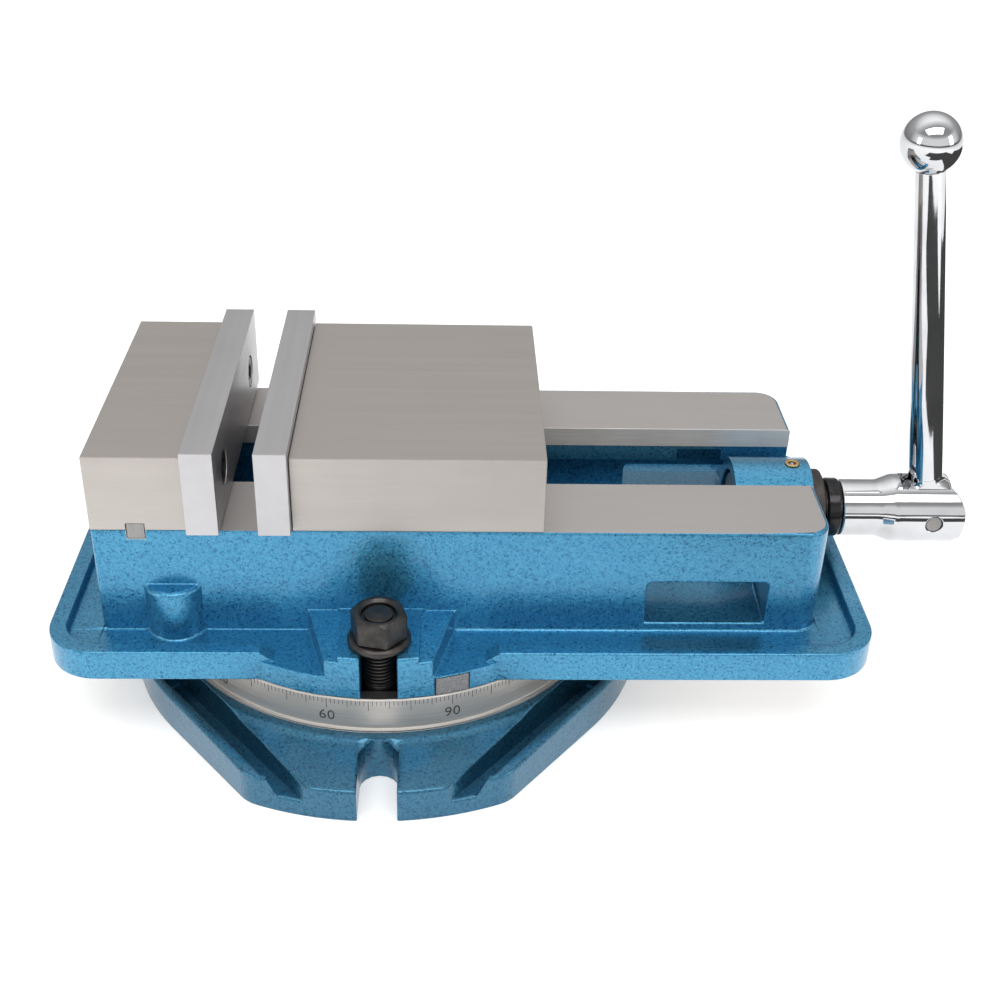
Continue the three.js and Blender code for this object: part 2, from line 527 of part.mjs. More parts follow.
/** Nut with wings that run under the lips and a sloping nose that pulls the jaw down. */
function jawNut() {
  const { left, right, half, bottomZ, topZ, wingRight, wingHalf, wingBottomZ, noseTopZ, noseRight } = NUT;
  const wingTopZ = CHANNEL.lipBottomZ - 2 * GAP;
  const slopeX = (z) => HALF_BALL.x + z - HALF_BALL.z + 2 * GAP;
  const slopeZ = left - slopeX(0);
  const nose = prismY(polygon([[left, bottomZ + LAP], [noseRight, bottomZ + LAP], [noseRight, noseTopZ],
    [slopeX(noseTopZ), noseTopZ], [left, slopeZ]]), half);
  const barrel = slab(left, right, half, bottomZ, topZ);
  const wings = slab(left, wingRight, wingHalf, wingBottomZ, wingTopZ);
  return cut(join(barrel, nose, wings), rodX(SCREW.threadRadius + GAP, left - LAP, right + LAP, 0, SCREW_Z));
}

// ---------------------------------------------------------------- screw line (about the X axis)

function leadScrew() {
  const { left, threadEnd, threadRadius, neckRadius, journalRadius, flangeRadius, flangeLeft, flangeRight,
    hexLeft, hexRight, hexFlats, endBevel } = SCREW;
  const shaft = turnX([[0, left], [threadRadius - endBevel, left], [threadRadius, left + endBevel],
    [threadRadius, threadEnd], [neckRadius, threadEnd + endBevel], [neckRadius, flangeLeft],
    [flangeRadius, flangeLeft], [flangeRadius, flangeRight], [journalRadius, flangeRight],
    [journalRadius, hexLeft - GAP], [0, hexLeft - GAP]]);
  return shaft.add(prismX(hexagon(hexFlats), hexLeft - LAP, hexRight));
}

/** Plain ring about the X axis with its outer edges bevelled. */
function collar(inner, outer, x0, x1, bevel) {
  return turnX([[inner, x0], [outer - bevel, x0], [outer, x0 + bevel], [outer, x1 - bevel],
    [outer - bevel, x1], [inner, x1], [inner, x0]]);
}

/** Cage of the thrust bearing, with its balls held in it. */
function ballCage(x0, x1) {
  const { boreRadius, radius, ballRadius, ballCount, cageInset, cageHalf, cageBevel } = BEARING;
  const middle = (x0 + x1) / 2;
  const pitch = (boreRadius + radius) / 2;
  const cage = collar(boreRadius + cageInset, radius - cageInset, middle - cageHalf, middle + cageHalf,
    cageBevel);
  const balls = Array.from({ length: ballCount }, (_, i) => {
    const angle = (i / ballCount) * 2 * Math.PI;
    return ball(ballRadius, 8, middle, pitch * Math.cos(angle), pitch * Math.sin(angle));
  });
  return join(cage, ...balls);
}

/** Ball oiler, with its flange's bottom face at the origin. */
function oilCup() {
  const { seatRadius, boreRadius, depth, drillRadius, cupRadius, cupDepth, flangeThick, flangeBevel } = OILER;
  const skirt = boreRadius - GAP;
  const rim = seatRadius - GAP;
  return turnZ([[drillRadius, -depth], [skirt, -depth], [skirt, 0], [rim, 0], [rim, flangeThick - flangeBevel],
    [rim - flangeBevel, flangeThick], [cupRadius, flangeThick], [cupRadius, -cupDepth],
    [drillRadius, -cupDepth], [drillRadius, -depth]], SMALL);
}

// ---------------------------------------------------------------- crank handle

function handleHub() {
  const { left, right, neckRadius, neckEnd, bodyStart, bodyRadius, leftBevel, leftRound, endRound, slotLeft,
    slotHalf, socketRight } = HUB;
  const past = bodyRadius + LAP;
  const turned = turnX([[0, left], [neckRadius - leftBevel, left], [neckRadius, left + leftBevel],
    [neckRadius, neckEnd], [bodyRadius, bodyStart], [bodyRadius, right], [0, right]]);
  const side = roundedRectangle(left - LAP, right, -bodyRadius, bodyRadius, leftRound, endRound);
  const profile = prismY(side, past);
  const slot = slab(slotLeft, right + LAP, slotHalf, -past, past);
  const socket = prismX(hexagon(SCREW.hexFlats + 2 * GAP), left - LAP, socketRight);
  return cut(turned.intersect(profile), slot, socket, rodY(PIN.holeRadius, past, PIVOT.x, 0, SMALL));
}

/** Crank arm about its own pivot, standing along +Z. */
function handleArm() {
  const { eyeRadius, eyeHalf, blockTop, shoulderTop, shoulderHalf, rootZ, rootRadius, tipRadius, shaftTop,
    studRadius, studTop } = ARM;
  const outline = new THREE.Shape();
  outline.absarc(0, 0, eyeRadius, Math.PI, 2 * Math.PI);
  outline.lineTo(eyeRadius, blockTop);
  outline.quadraticCurveTo(eyeRadius, shoulderTop, shoulderHalf, shoulderTop);
  outline.lineTo(-shoulderHalf, shoulderTop);
  outline.quadraticCurveTo(-eyeRadius, shoulderTop, -eyeRadius, blockTop);
  const eye = prismY(outline, eyeHalf);
  const shaft = turnZ([[0, blockTop], [eyeHalf, blockTop], [eyeHalf, shoulderTop], [rootRadius, rootZ],
    [tipRadius, shaftTop], [studRadius, shaftTop], [studRadius, studTop], [0, studTop]], MEDIUM);
  return eye.add(shaft).subtract(rodY(PIN.holeRadius, eyeHalf + LAP, 0, 0, SMALL));
}

/** Ball knob about the arm's axis, bored for the arm's stud. */
function handleBall() {
  const { ballCentre, ballRadius, shaftTop, studRadius, studTop } = ARM;
  const bore = rodZ(studRadius + GAP, shaftTop - LAP, studTop + GAP, 0, 0, SMALL);
  const seat = rodZ(ballRadius, 0, shaftTop + GAP, 0, 0, SMALL);
  return cut(ball(ballRadius, MEDIUM, 0, 0, ballCentre), bore, seat);
}

// ---------------------------------------------------------------- assembly

function at(mesh, x, y, z) {
  mesh.position.set(x, y, z);
  return mesh;
}

function fixedJawGroup() {
  const group = new THREE.Group();
  group.add(piece('fixed_jaw', fixedJaw(), GROUND_STEEL));
  group.add(piece('fixed_jaw_key', slab(KEY.left + GAP, KEY.right - GAP, BODY.halfY - GAP,
    KEY.bottomZ + GAP, KEY.topZ - GAP), PLAIN_STEEL));
  group.add(at(piece('fixed_jaw_plate', jawPlate(1), HARD_STEEL), FIXED_PLATE_LEFT, 0, 0));
  const headX = FIXED_PLATE_LEFT + PLATE.thick - CAP_HOLE.pocketDepth + CAP_SCREW.headLength + GAP;
  const headZ = JAW_BOLT.pocketTopZ - GAP - JAW_BOLT.headHeight;
  for (const [place, side] of [['front', -1], ['rear', 1]]) {
    const screw = piece(`fixed_plate_screw_${place}`, capScrew(), BLACK_OXIDE);
    group.add(at(screw, headX, side * PLATE.screwY, PLATE.screwZ));
    const bolt = piece(`fixed_jaw_bolt_${place}`, jawBolt(), BLACK_OXIDE);
    group.add(at(bolt, JAW_BOLT.x, side * JAW_BOLT.y, headZ));
  }
  return group;
}

function movingJawGroup() {
  const group = new THREE.Group();
  const backX = MOVING_PLATE_LEFT + PLATE.thick;
  group.add(piece('moving_jaw', movingJaw(), GROUND_STEEL));
  group.add(at(piece('moving_jaw_plate', jawPlate(-1), HARD_STEEL), backX, 0, 0));
  group.add(piece('jaw_nut', jawNut(), BLACK_OXIDE));
  group.add(at(piece('jaw_half_ball', halfBall(), HARD_STEEL), HALF_BALL.x, 0, HALF_BALL.z));
  group.add(at(piece('jaw_set_screw', setScrew(), BLACK_OXIDE), 0, 0, SET_SCREW.z));
  const headX = MOVING_PLATE_LEFT + CAP_HOLE.pocketDepth - CAP_SCREW.headLength - GAP;
  for (const [place, side] of [['front', -1], ['rear', 1]]) {
    const screw = piece(`moving_plate_screw_${place}`, capScrew(), BLACK_OXIDE);
    screw.rotation.z = Math.PI;
    group.add(at(screw, headX, side * PLATE.screwY, PLATE.screwZ));
  }
  return group;
}

/** Pieces on the screw's own axis, which the group lifts to its height. */
function screwGroup() {
  const { boreRadius, radius, raceWidth, cageWidth, bevel } = BEARING;
  const journalBore = SCREW.journalRadius + GAP;
  const turningRace = SCREW.flangeRight + GAP;
  const cage = turningRace + raceWidth + GAP;
  const fixedRace = cage + cageWidth + GAP;
  const group = new THREE.Group();
  group.position.z = SCREW_Z;
  group.add(piece('lead_screw', leadScrew(), PLAIN_STEEL));
  const race = (x0) => collar(boreRadius, radius, x0, x0 + raceWidth, bevel);
  const nut = ({ radius: outer, left, right, bevel: edge }) => collar(journalBore, outer, left, right, edge);
  group.add(piece('thrust_race_turning', race(turningRace), HARD_STEEL));
  group.add(piece('thrust_ball_cage', ballCage(cage, cage + cageWidth), BRASS));
  group.add(piece('thrust_race_fixed', race(fixedRace), HARD_STEEL));
  group.add(piece('screw_bush', collar(journalBore, BUSH.radius, BUSH.left, BUSH.right, bevel), BRONZE));
  group.add(piece('end_play_nut', nut(END_NUT), BLACK_OXIDE));
  group.add(piece('lock_nut', nut(LOCK_NUT), BLACK_OXIDE));
  group.add(piece('handle_hub', handleHub(), CHROME));
  group.add(piece('handle_pin', rodY(PIN.radius, PIN.halfLength, PIVOT.x, 0, SMALL), PLAIN_STEEL));
  return group;
}

function handleGroup() {
  const group = new THREE.Group();
  group.position.set(PIVOT.x, 0, PIVOT.z);
  group.rotation.y = ARM.lean;
  group.add(piece('handle_arm', handleArm(), CHROME));
  group.add(piece('handle_ball', handleBall(), CHROME));
  return group;
}

/** One hold-down bolt with its washer and nut, on its own axis. */
function clampGroup(place, side) {
  const group = new THREE.Group();
  group.position.y = side * TSLOT.radius;
  group.add(piece(`t_bolt_${place}`, tBolt(), BLACK_OXIDE));
  const washerZ = EAR.padZ + GAP;
  const nutZ = washerZ + CLAMP.washerThick + GAP;
  group.add(at(piece(`clamp_washer_${place}`, clampWasher(), BLACK_OXIDE), 0, 0, washerZ));
  const nut = at(piece(`clamp_nut_${place}`, clampNut(), BLACK_OXIDE), 0, 0, nutZ);
  nut.rotation.z = CLAMP.nutTurn;
  group.add(nut);
  return group;
}

function viseBodyGroup() {
  const group = new THREE.Group();
  group.add(piece('vise_body', viseBody(), PAINT));
  const plate = piece('index_plate', indexPlate(), PLAIN_STEEL);
  plate.rotation.z = INDEX.angle;
  group.add(plate);
  group.add(at(piece('oil_cup', oilCup(), BRASS), OILER.x, 0, OILER.seatZ + GAP));
  group.add(at(piece('oil_cup_ball', ball(OILER.ballRadius, 12), PLAIN_STEEL), OILER.x, 0, OILER.seatZ - GAP));
  group.add(clampGroup('front', -1), clampGroup('rear', 1));
  return group;
}

const vise = new THREE.Group();
vise.add(piece('swivel_base', swivelBase(), PAINT));
vise.add(viseBodyGroup(), fixedJawGroup(), movingJawGroup(), screwGroup(), handleGroup());

export default vise;
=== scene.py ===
"""Looks of the machine vise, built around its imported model. Shapes are worked out in millimetres."""
import json
import math

import bmesh
import bpy
from mathutils import Matrix, Vector
from mathutils.geometry import delaunay_2d_cdt


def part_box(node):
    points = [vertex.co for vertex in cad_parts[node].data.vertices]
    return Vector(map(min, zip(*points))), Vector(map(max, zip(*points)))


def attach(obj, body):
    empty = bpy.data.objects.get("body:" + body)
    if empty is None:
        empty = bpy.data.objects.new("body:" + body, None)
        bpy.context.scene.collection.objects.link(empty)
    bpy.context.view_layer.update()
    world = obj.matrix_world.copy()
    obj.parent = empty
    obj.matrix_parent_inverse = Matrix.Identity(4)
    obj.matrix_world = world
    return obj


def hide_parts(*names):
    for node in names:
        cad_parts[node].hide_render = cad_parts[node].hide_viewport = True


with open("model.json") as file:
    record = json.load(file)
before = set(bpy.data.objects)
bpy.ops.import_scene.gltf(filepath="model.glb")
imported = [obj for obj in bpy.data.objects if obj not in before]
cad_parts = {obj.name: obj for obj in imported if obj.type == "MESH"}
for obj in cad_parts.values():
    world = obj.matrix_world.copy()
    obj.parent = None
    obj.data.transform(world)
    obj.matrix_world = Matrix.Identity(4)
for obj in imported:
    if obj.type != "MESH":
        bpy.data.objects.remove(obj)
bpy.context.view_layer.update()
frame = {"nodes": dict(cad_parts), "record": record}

MM = 0.001
RECORD = frame["record"]
BODY_OF = {node: body for body, nodes in RECORD["behaviour"]["bodies"].items() for node in nodes}


def box_mm(node):
    """Lowest and highest corner of a CAD node, in millimetres."""
    low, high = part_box(node)
    return low / MM, high / MM


def joint(name):
    return next(row for row in RECORD["behaviour"]["joints"] if row["name"] == name)


# ---------------------------------------------------------------- driving dimensions

# the vise body, where its paint, roundings and machined faces begin
BED_TOP = box_mm("vise_body")[1].z
BED_BOTTOM = box_mm("index_plate")[0].z - 0.3
STRIP_DEPTH = 10.5               # milled strip along the top of the channel's walls
CHANNEL_HALF = 29.0
LIP_HALF = 29.8                  # the channel's walls below the strip
CHANNEL_LEFT = -84.0
CHANNEL_WIDE_HALF = 40.0         # the wide part of the channel, where the jaw nut's wings run
CHANNEL_WIDE_TOP = 98.0
SEAT_LEFT = -119.0               # the bed's top under the fixed jaw, up to the key's slot
KEYWAY = (-118.5, -108.0)        # from left to right
KEYWAY_FLOOR = 105.0
BOSS_LEFT = 178.6
BUMP_TOP = 80.0
WALL_HALF = 74.5
EAR_TOP = 62.8
EAR_PAD = 66.0                   # top of the pads under the clamp washers
EAR_RISE = 2.4
EAR_REACH = 40.0                 # half the length of an ear's top along the wall
RIM_DIP = (49.0, 60.0)           # where the tray's rim slopes down to the ears, to either side
RIM_DIP_Y = 85.0

# the swivel base
RING_RADIUS = 115.0
RING_LEDGE_RADIUS = 116.4
RING_LEDGE_Z = 24.9
RING_TOP = box_mm("swivel_base")[1].z

# widths of the castings' roundings
FOOT_ROUNDING = 0.6
SCALE_ROUNDING = 0.25
MILLED_ROUNDING = 0.3
CHANNEL_ROUNDING = 0.7
BASE_ROUNDING = 1.8
WALL_TOP_ROUNDING = 1.7
BUMP_ROUNDING = 2.4
EAR_ROUNDING = 3.0
CONVEX_ROUNDING = 1.0
CONCAVE_ROUNDING = 1.6

# graduations
MARK_WIDTH = 0.26
MARK_PROUD = 0.02
MARK_DEPTH = 0.25
MARK_LENGTHS = {10: 5.6, 5: 4.0, 1: 2.6}         # at every 10, 5 and 1 degrees
MARK_TOP = RING_TOP - 0.8
DIGIT_HEIGHT = 5.4
DIGIT_FOOT_Z = 29.2
DIGIT_STEP = 30
CAP_HEIGHT = 0.7                 # height of a digit as a share of its font size
SCALE_READS = 90                 # the number that stands under the index plate

# the screw line and the crank
SCREW_Z = joint("screw_turn")["pos_m"][2] / MM
SCREW_LINE = (0, 0, SCREW_Z)
SCREW_LEAD = 5.0
BEARING_BORE, BEARING_RADIUS = 10.4, 17.5
THREAD_CREST, THREAD_ROOT, THREAD_END = 11.0, 8.4, 168.0
NECK_RADIUS = 9.5
FLANGE_RADIUS, FLANGE_LEFT, FLANGE_RIGHT = 18.0, 180.0, 187.1
JOURNAL_RADIUS, JOURNAL_END = 10.0, 236.6
HEX_FLATS = 17.0
PIVOT_X = joint("arm_fold")["pos_m"][0] / MM
PIN_BORE = 4.5
ARM_LEAN = -9.4                  # degrees

FINE = 128                       # columns of a turned piece
SHARP = math.radians(34)         # edges sharper than this break the shading
BEVEL_ANGLE = math.radians(28)   # edges sharper than this are rounded
FACET_ANGLES = (math.radians(4), math.radians(6))  # between two facets of the widest curved walls
FACET_LENGTH = 5.0               # and the shortest such facet
ROOM_SHARE = 0.42                # share of a narrow face that each of its roundings may take

# ---------------------------------------------------------------- materials


class NodeTree:
    """Short calls for the nodes of a material or a world."""

    def __init__(self, tree):
        self.tree = tree

    def node(self, kind, **settings):
        made = self.tree.nodes.new("ShaderNode" + kind)
        for key, value in settings.items():
            setattr(made, key, value)
        return made

    def feed(self, target, source):
        if isinstance(source, (int, float, tuple)):
            target.default_value = source
        else:
            self.tree.links.new(source, target)

    def ramp(self, factor, *stops):
        """Colour ramp through (position, colour) stops."""
        made = self.node("ValToRGB")
        self.feed(made.inputs["Fac"], factor)
        elements = made.color_ramp.elements
        while len(elements) < len(stops):
            elements.new(0.5)
        for element, (position, colour) in zip(elements, stops):
            element.position = position
            element.color = (*colour, 1)
        return made.outputs["Color"]

    def mapped(self, value, start, end, low=0.0, high=1.0):
        """Maps a value's range, start to end, onto low to high."""
        made = self.node("MapRange")
        for socket, source in zip(("Value", "From Min", "From Max", "To Min", "To Max"),
                                  (value, start, end, low, high)):
            self.feed(made.inputs[socket], source)
        return made.outputs["Result"]

    def maths(self, operation, a, b):
        made = self.node("Math", operation=operation)
        self.feed(made.inputs[0], a)
        self.feed(made.inputs[1], b)
        return made.outputs["Value"]

    def mix(self, factor, a, b, blend="MIX"):
        made = self.node("Mix", data_type="RGBA", blend_type=blend)
        self.feed(made.inputs[0], factor)
        for socket, value in ((6, a), (7, b)):
            self.feed(made.inputs[socket], (*value, 1) if isinstance(value, tuple) else value)
        return made.outputs[2]


class Shader(NodeTree):
    """A Principled material, with short calls for its pattern."""

    def __init__(self, name, **values):
        self.material = bpy.data.materials.new(name)
        self.material.use_nodes = True
        super().__init__(self.material.node_tree)
        self.surface = self.tree.nodes["Principled BSDF"]
        for socket, value in values.items():
            self.surface.inputs[socket.replace("_", " ")].default_value = value
        self.place = self.node("TexCoord").outputs["Object"]

    def drive(self, socket, source):
        self.feed(self.surface.inputs[socket], source)

    def noise(self, grain, detail=2.0, stretch=(1, 1, 1), distortion=0.0):
        """Noise whose features are about grain millimetres across, times stretch."""
        mapping = self.node("Mapping")
        self.feed(mapping.inputs["Vector"], self.place)
        mapping.inputs["Scale"].default_value = tuple(1 / s for s in stretch)
        made = self.node("TexNoise")
        self.feed(made.inputs["Vector"], mapping.outputs["Vector"])
        made.inputs["Scale"].default_value = 1 / (grain * MM)
        made.inputs["Detail"].default_value = detail
        made.inputs["Distortion"].default_value = distortion
        return made.outputs["Fac"]

    def spread(self, noise, low, high):
        """Maps the middle part of a noise, where most of its values lie, onto low to high."""
        return self.mapped(noise, 0.3, 0.7, low, high)

    def bump(self, *layers):
        """Chain of bumps from (height, depth in millimetres) layers."""
        normal = None
        for height, depth in layers:
            made = self.node("Bump")
            made.inputs["Distance"].default_value = depth * MM
            self.feed(made.inputs["Height"], height)
            if normal is not None:
                self.feed(made.inputs["Normal"], normal)
            normal = made.outputs["Normal"]
        self.drive("Normal", normal)


def hammertone_paint(name, painted_shade=1.0):
    """Metallic blue with the dimpled skin of hammered paint: dark specks on a paler field."""
    shader = Shader(name, Metallic=0.8, Coat_Weight=0.5, Coat_Roughness=0.14, Coat_IOR=1.5)
    flakes = shader.noise(1.25, detail=3.0, distortion=0.8)
    patches = shader.noise(8.0, detail=3.0)
    broad = shader.noise(60.0, detail=2.0)
    speck, field, crest = (0.012, 0.12, 0.25), (0.048, 0.265, 0.45), (0.08, 0.335, 0.52)
    colour = shader.ramp(flakes, (0.34, speck), (0.47, field), (0.66, crest))
    colour = shader.mix(shader.spread(patches, 0.0, 0.2), colour, (0.028, 0.21, 0.40))
    colour = shader.mix(shader.spread(broad, 0.0, 0.14), colour, (0.075, 0.33, 0.55))
    # the colour is multiplied by the painted shade factor: below 1 it darkens the whole paint as painted
    # shade
    shader.drive("Base Color", shader.mix(1.0, colour, (painted_shade,) * 3, "MULTIPLY"))
    shader.drive("Roughness", shader.spread(flakes, 0.26, 0.38))
    shader.bump((patches, 0.25), (shader.noise(1.5, detail=2.0, distortion=0.5), 0.2))
    return shader.material


def ground_steel(name, colour, dark, roughness, along):
    """Surface-ground steel with fine grinding lines that run along one axis."""
    shader = Shader(name, Metallic=1.0)
    stretch = tuple(60.0 if axis == along else 1.0 for axis in "XYZ")
    lines = shader.noise(0.5, detail=3.0, stretch=stretch)
    wide_lines = shader.noise(4.0, detail=2.0, stretch=stretch)
    clouds = shader.noise(45.0, detail=3.0)
    tone = shader.mix(shader.spread(lines, 0.0, 0.35), colour, dark)
    tone = shader.mix(shader.spread(clouds, 0.0, 0.30), tone, dark)
    shader.drive("Base Color", tone)
    rough = shader.maths("ADD", shader.spread(wide_lines, -0.03, 0.03), shader.spread(clouds, -0.03, 0.04))
    shader.drive("Roughness", shader.maths("ADD", rough, roughness))
    shader.bump((lines, 0.006))
    return shader.material


def machined_steel(name, colour, dark, roughness, stretch=(1, 1, 30), depth=0.01, metallic=1.0):
    """Cut steel with tool marks, drawn out by stretch, and a few stains."""
    shader = Shader(name, Metallic=metallic)
    lines = shader.noise(0.7, detail=3.0, stretch=stretch)
    stains = shader.noise(12.0, detail=4.0)
    tone = shader.mix(shader.spread(lines, 0.0, 0.5), colour, dark)
    tone = shader.mix(shader.spread(stains, 0.0, 0.35), tone, dark)
    shader.drive("Base Color", tone)
    shader.drive("Roughness", shader.spread(lines, roughness - 0.05, roughness + 0.08))
    shader.bump((lines, depth))
    return shader.material


def scale_steel():
    """Turned steel of the graduated ring: fine lines that run round the axis."""
    shader = Shader("scale_ring_steel", Metallic=0.78)
    lines = shader.noise(0.35, detail=4.0, stretch=(70, 70, 1))
    bands = shader.noise(2.4, detail=2.0, stretch=(25, 25, 1))
    tone = shader.mix(shader.spread(lines, 0.0, 0.6), (0.60, 0.57, 0.535), (0.38, 0.36, 0.335))
    tone = shader.mix(shader.spread(bands, 0.0, 0.35), tone, (0.43, 0.41, 0.385))
    shader.drive("Base Color", tone)
    shader.drive("Roughness", shader.spread(bands, 0.38, 0.48))
    shader.bump((lines, 0.04))
    return shader.material


def matt_plate():
    """Dull speckled steel of the index plate."""
    shader = Shader("matt_index_steel", Metallic=0.5)
    specks = shader.noise(0.7, detail=3.0)
    shader.drive("Base Color", shader.ramp(specks, (0.35, (0.16, 0.16, 0.165)), (0.6, (0.30, 0.30, 0.31))))
    shader.drive("Roughness", shader.spread(specks, 0.5, 0.65))
    shader.bump((specks, 0.03))
    return shader.material


def black_oxide(name, colour, sheen, roughness):
    """Blackened steel that shows brown where it is rubbed."""
    shader = Shader(name, Metallic=0.85, Specular_IOR_Level=0.5)
    grain = shader.noise(0.8, detail=4.0)
    rub = shader.noise(5.0, detail=3.0)
    tone = shader.ramp(rub, (0.35, colour), (0.7, sheen))
    shader.drive("Base Color", shader.mix(shader.spread(grain, 0.0, 0.3), tone, colour))
    shader.drive("Roughness", shader.spread(grain, roughness - 0.06, roughness + 0.08))
    shader.bump((grain, 0.02), (rub, 0.02))
    return shader.material


def chrome():
    """Polished chrome with a trace of haze and a barely wavy skin."""
    shader = Shader("polished_chrome", Metallic=1.0)
    haze = shader.noise(14.0, detail=3.0)
    shader.drive("Base Color", shader.ramp(haze, (0.3, (0.58, 0.585, 0.60)), (0.7, (0.66, 0.665, 0.68))))
    shader.drive("Roughness", shader.spread(haze, 0.03, 0.075))
    shader.bump((shader.noise(6.0, detail=1.0), 0.012))
    return shader.material


def etched_black():
    """Black fill of the scale's marks and digits."""
    shader = Shader("etched_black", Metallic=0.1)
    grain = shader.noise(0.6, detail=2.0)
    shader.drive("Base Color", shader.ramp(grain, (0.3, (0.03, 0.03, 0.03)), (0.7, (0.075, 0.07, 0.068))))
    shader.drive("Roughness", shader.spread(grain, 0.5, 0.7))
    return shader.material


def yellow_metal(name, colour, dark, roughness):
    """Brass or bronze that is tarnished in places."""
    shader = Shader(name, Metallic=1.0)
    grain = shader.noise(2.5, detail=4.0)
    shader.drive("Base Color", shader.ramp(grain, (0.3, colour), (0.75, dark)))
    shader.drive("Roughness", shader.spread(grain, roughness - 0.05, roughness + 0.1))
    shader.bump((shader.noise(0.6), 0.01))
    return shader.material


PAINT = hammertone_paint("hammertone_paint")
# the swivel base's copy of the paint is darkened to 0.52: painted shade, so the base looks shaded
SHADED_BASE_PAINT = hammertone_paint("hammertone_paint_base_painted_shade", 0.52)
GROUND = ground_steel("ground_steel", (0.53, 0.495, 0.465), (0.45, 0.42, 0.39), 0.47, "X")
RAIL = ground_steel("ground_rail", (0.59, 0.56, 0.545), (0.51, 0.485, 0.47), 0.45, "X")
HARD = ground_steel("hardened_steel", (0.575, 0.565, 0.575), (0.52, 0.51, 0.52), 0.42, "Y")
SCALE = scale_steel()
INDEX = matt_plate()
PLAIN = machined_steel("machined_steel", (0.36, 0.35, 0.34), (0.27, 0.26, 0.25), 0.40)
STRIP = machined_steel("milled_strip", (0.72, 0.70, 0.68), (0.50, 0.485, 0.47), 0.48, (40, 40, 1), 0.02,
                       metallic=0.5)
SCREW = machined_steel("screw_steel", (0.40, 0.385, 0.37), (0.20, 0.19, 0.18), 0.30, (1, 12, 12), 0.02)
BLACK = black_oxide("black_oxide", (0.045, 0.043, 0.043), (0.085, 0.076, 0.068), 0.38)
DARK_NUT = black_oxide("dark_phosphate", (0.07, 0.062, 0.06), (0.12, 0.105, 0.098), 0.62)
GLOSS_NUT = black_oxide("oiled_black", (0.022, 0.022, 0.024), (0.045, 0.042, 0.042), 0.20)
CHROME = chrome()
ETCHED = etched_black()
BRASS = yellow_metal("satin_brass", (0.80, 0.55, 0.26), (0.52, 0.33, 0.14), 0.28)
BRONZE = yellow_metal("turned_bronze", (0.60, 0.40, 0.20), (0.40, 0.25, 0.12), 0.35)

# ---------------------------------------------------------------- mesh helpers, all in millimetres


def mesh_of(work, name="work"):
    """Turns a bmesh into a mesh and frees it."""
    mesh = bpy.data.meshes.new(name)
    work.to_mesh(mesh)
    work.free()
    return mesh


def linked(name, data):
    """New object in the scene."""
    made = bpy.data.objects.new(name, data)
    bpy.context.scene.collection.objects.link(made)
    return made


def add_piece(name, shape, materials, node):
    """Makes the object, in metres, hangs it on the body that its CAD node rides on, and hides that node."""
    mesh = mesh_of(shape, name) if isinstance(shape, bmesh.types.BMesh) else shape
    mesh.transform(Matrix.Scale(MM, 4))
    for material in materials:
        mesh.materials.append(material)
    shade(mesh)
    piece = linked(name, mesh)
    weighted = piece.modifiers.new("flat faces", "WEIGHTED_NORMAL")
    weighted.keep_sharp = True
    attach(piece, BODY_OF[node])
    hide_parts(node)


def shade(mesh):
    """Smooth shading that breaks at edges sharper than SHARP."""
    work = bmesh.new()
    work.from_mesh(mesh)
    for face in work.faces:
        face.smooth = True
    for edge in work.edges:
        edge.smooth = edge.calc_face_angle(math.pi) < SHARP
    work.to_mesh(mesh)
    work.free()


def copy_of(node):
    """The CAD node's mesh in millimetres, with its flat faces whole again."""
    work = bmesh.new()
    work.from_mesh(frame["nodes"][node].data)
    bmesh.ops.scale(work, vec=(1 / MM,) * 3, verts=work.verts)
    bmesh.ops.remove_doubles(work, verts=work.verts, dist=0.002)
    bmesh.ops.dissolve_limit(work, angle_limit=math.radians(0.4), verts=work.verts, edges=work.edges)
    return work


def evaluated(work, modifiers):
    """Runs modifiers, given as (type, settings), over a bmesh and returns the mesh that they make."""
    mesh = mesh_of(work)
    holder = linked("work", mesh)
    for kind, settings in modifiers:
        modifier = holder.modifiers.new(kind, kind)
        for key, value in settings.items():
            setattr(modifier, key, value)
    graph = bpy.context.evaluated_depsgraph_get()
    made = bpy.data.meshes.new_from_object(holder.evaluated_get(graph))
    bpy.data.objects.remove(holder)
    bpy.data.meshes.remove(mesh)
    return made


def retiled(mesh):
    """Cuts each many-sided face into triangles, also where a rounding pushed its outline over itself."""
    work = bmesh.new()
    work.from_mesh(mesh)
    upward = Vector((0, 0, 1))
    many_sided = [face for face in work.faces if len(face.verts) > 4]
    for face in many_sided:
        lay_flat = face.normal.rotation_difference(upward)
        laid = [lay_flat @ vert.co for vert in face.verts]
        height = sum(point.z for point in laid) / len(laid)
        outline = [point.to_2d() for point in laid]
        points, _, triangles, sources, _, _ = delaunay_2d_cdt(outline, [], [range(len(outline))], 1, 1e-4)
        corners = [face.verts[source[0]] if source
                   else work.verts.new(lay_flat.inverted() @ Vector((*point, height)))
                   for point, source in zip(points, sources)]
        for triangle in triangles:
            if work.faces.get([corners[i] for i in triangle]) is None:
                work.faces.new([corners[i] for i in triangle], face)
    bmesh.ops.delete(work, geom=many_sided, context="FACES_ONLY")
    work.to_mesh(mesh)
    work.free()
    return mesh


def is_sharp(edge):
    return len(edge.link_faces) == 2 and edge.calc_face_angle() > BEVEL_ANGLE


def facet_line_at(vert):
    """The upright line between two facets of a curved wall, where one ends at this vertex of its rim."""
    soft = [edge for edge in vert.link_edges if not is_sharp(edge)]
    if len(vert.link_edges) != 3 or len(soft) != 1:
        return None
    line = soft[0]
    if not FACET_ANGLES[0] < line.calc_face_angle() < FACET_ANGLES[1]:
        return None
    if max(edge.calc_length() for edge in vert.link_edges if edge != line) < FACET_LENGTH:
        return None
    upright = abs(line.verts[0].co.z - line.verts[1].co.z) > 0.999 * line.calc_length()
    return line if upright and len(line.other_vert(vert).link_edges) == 3 else None


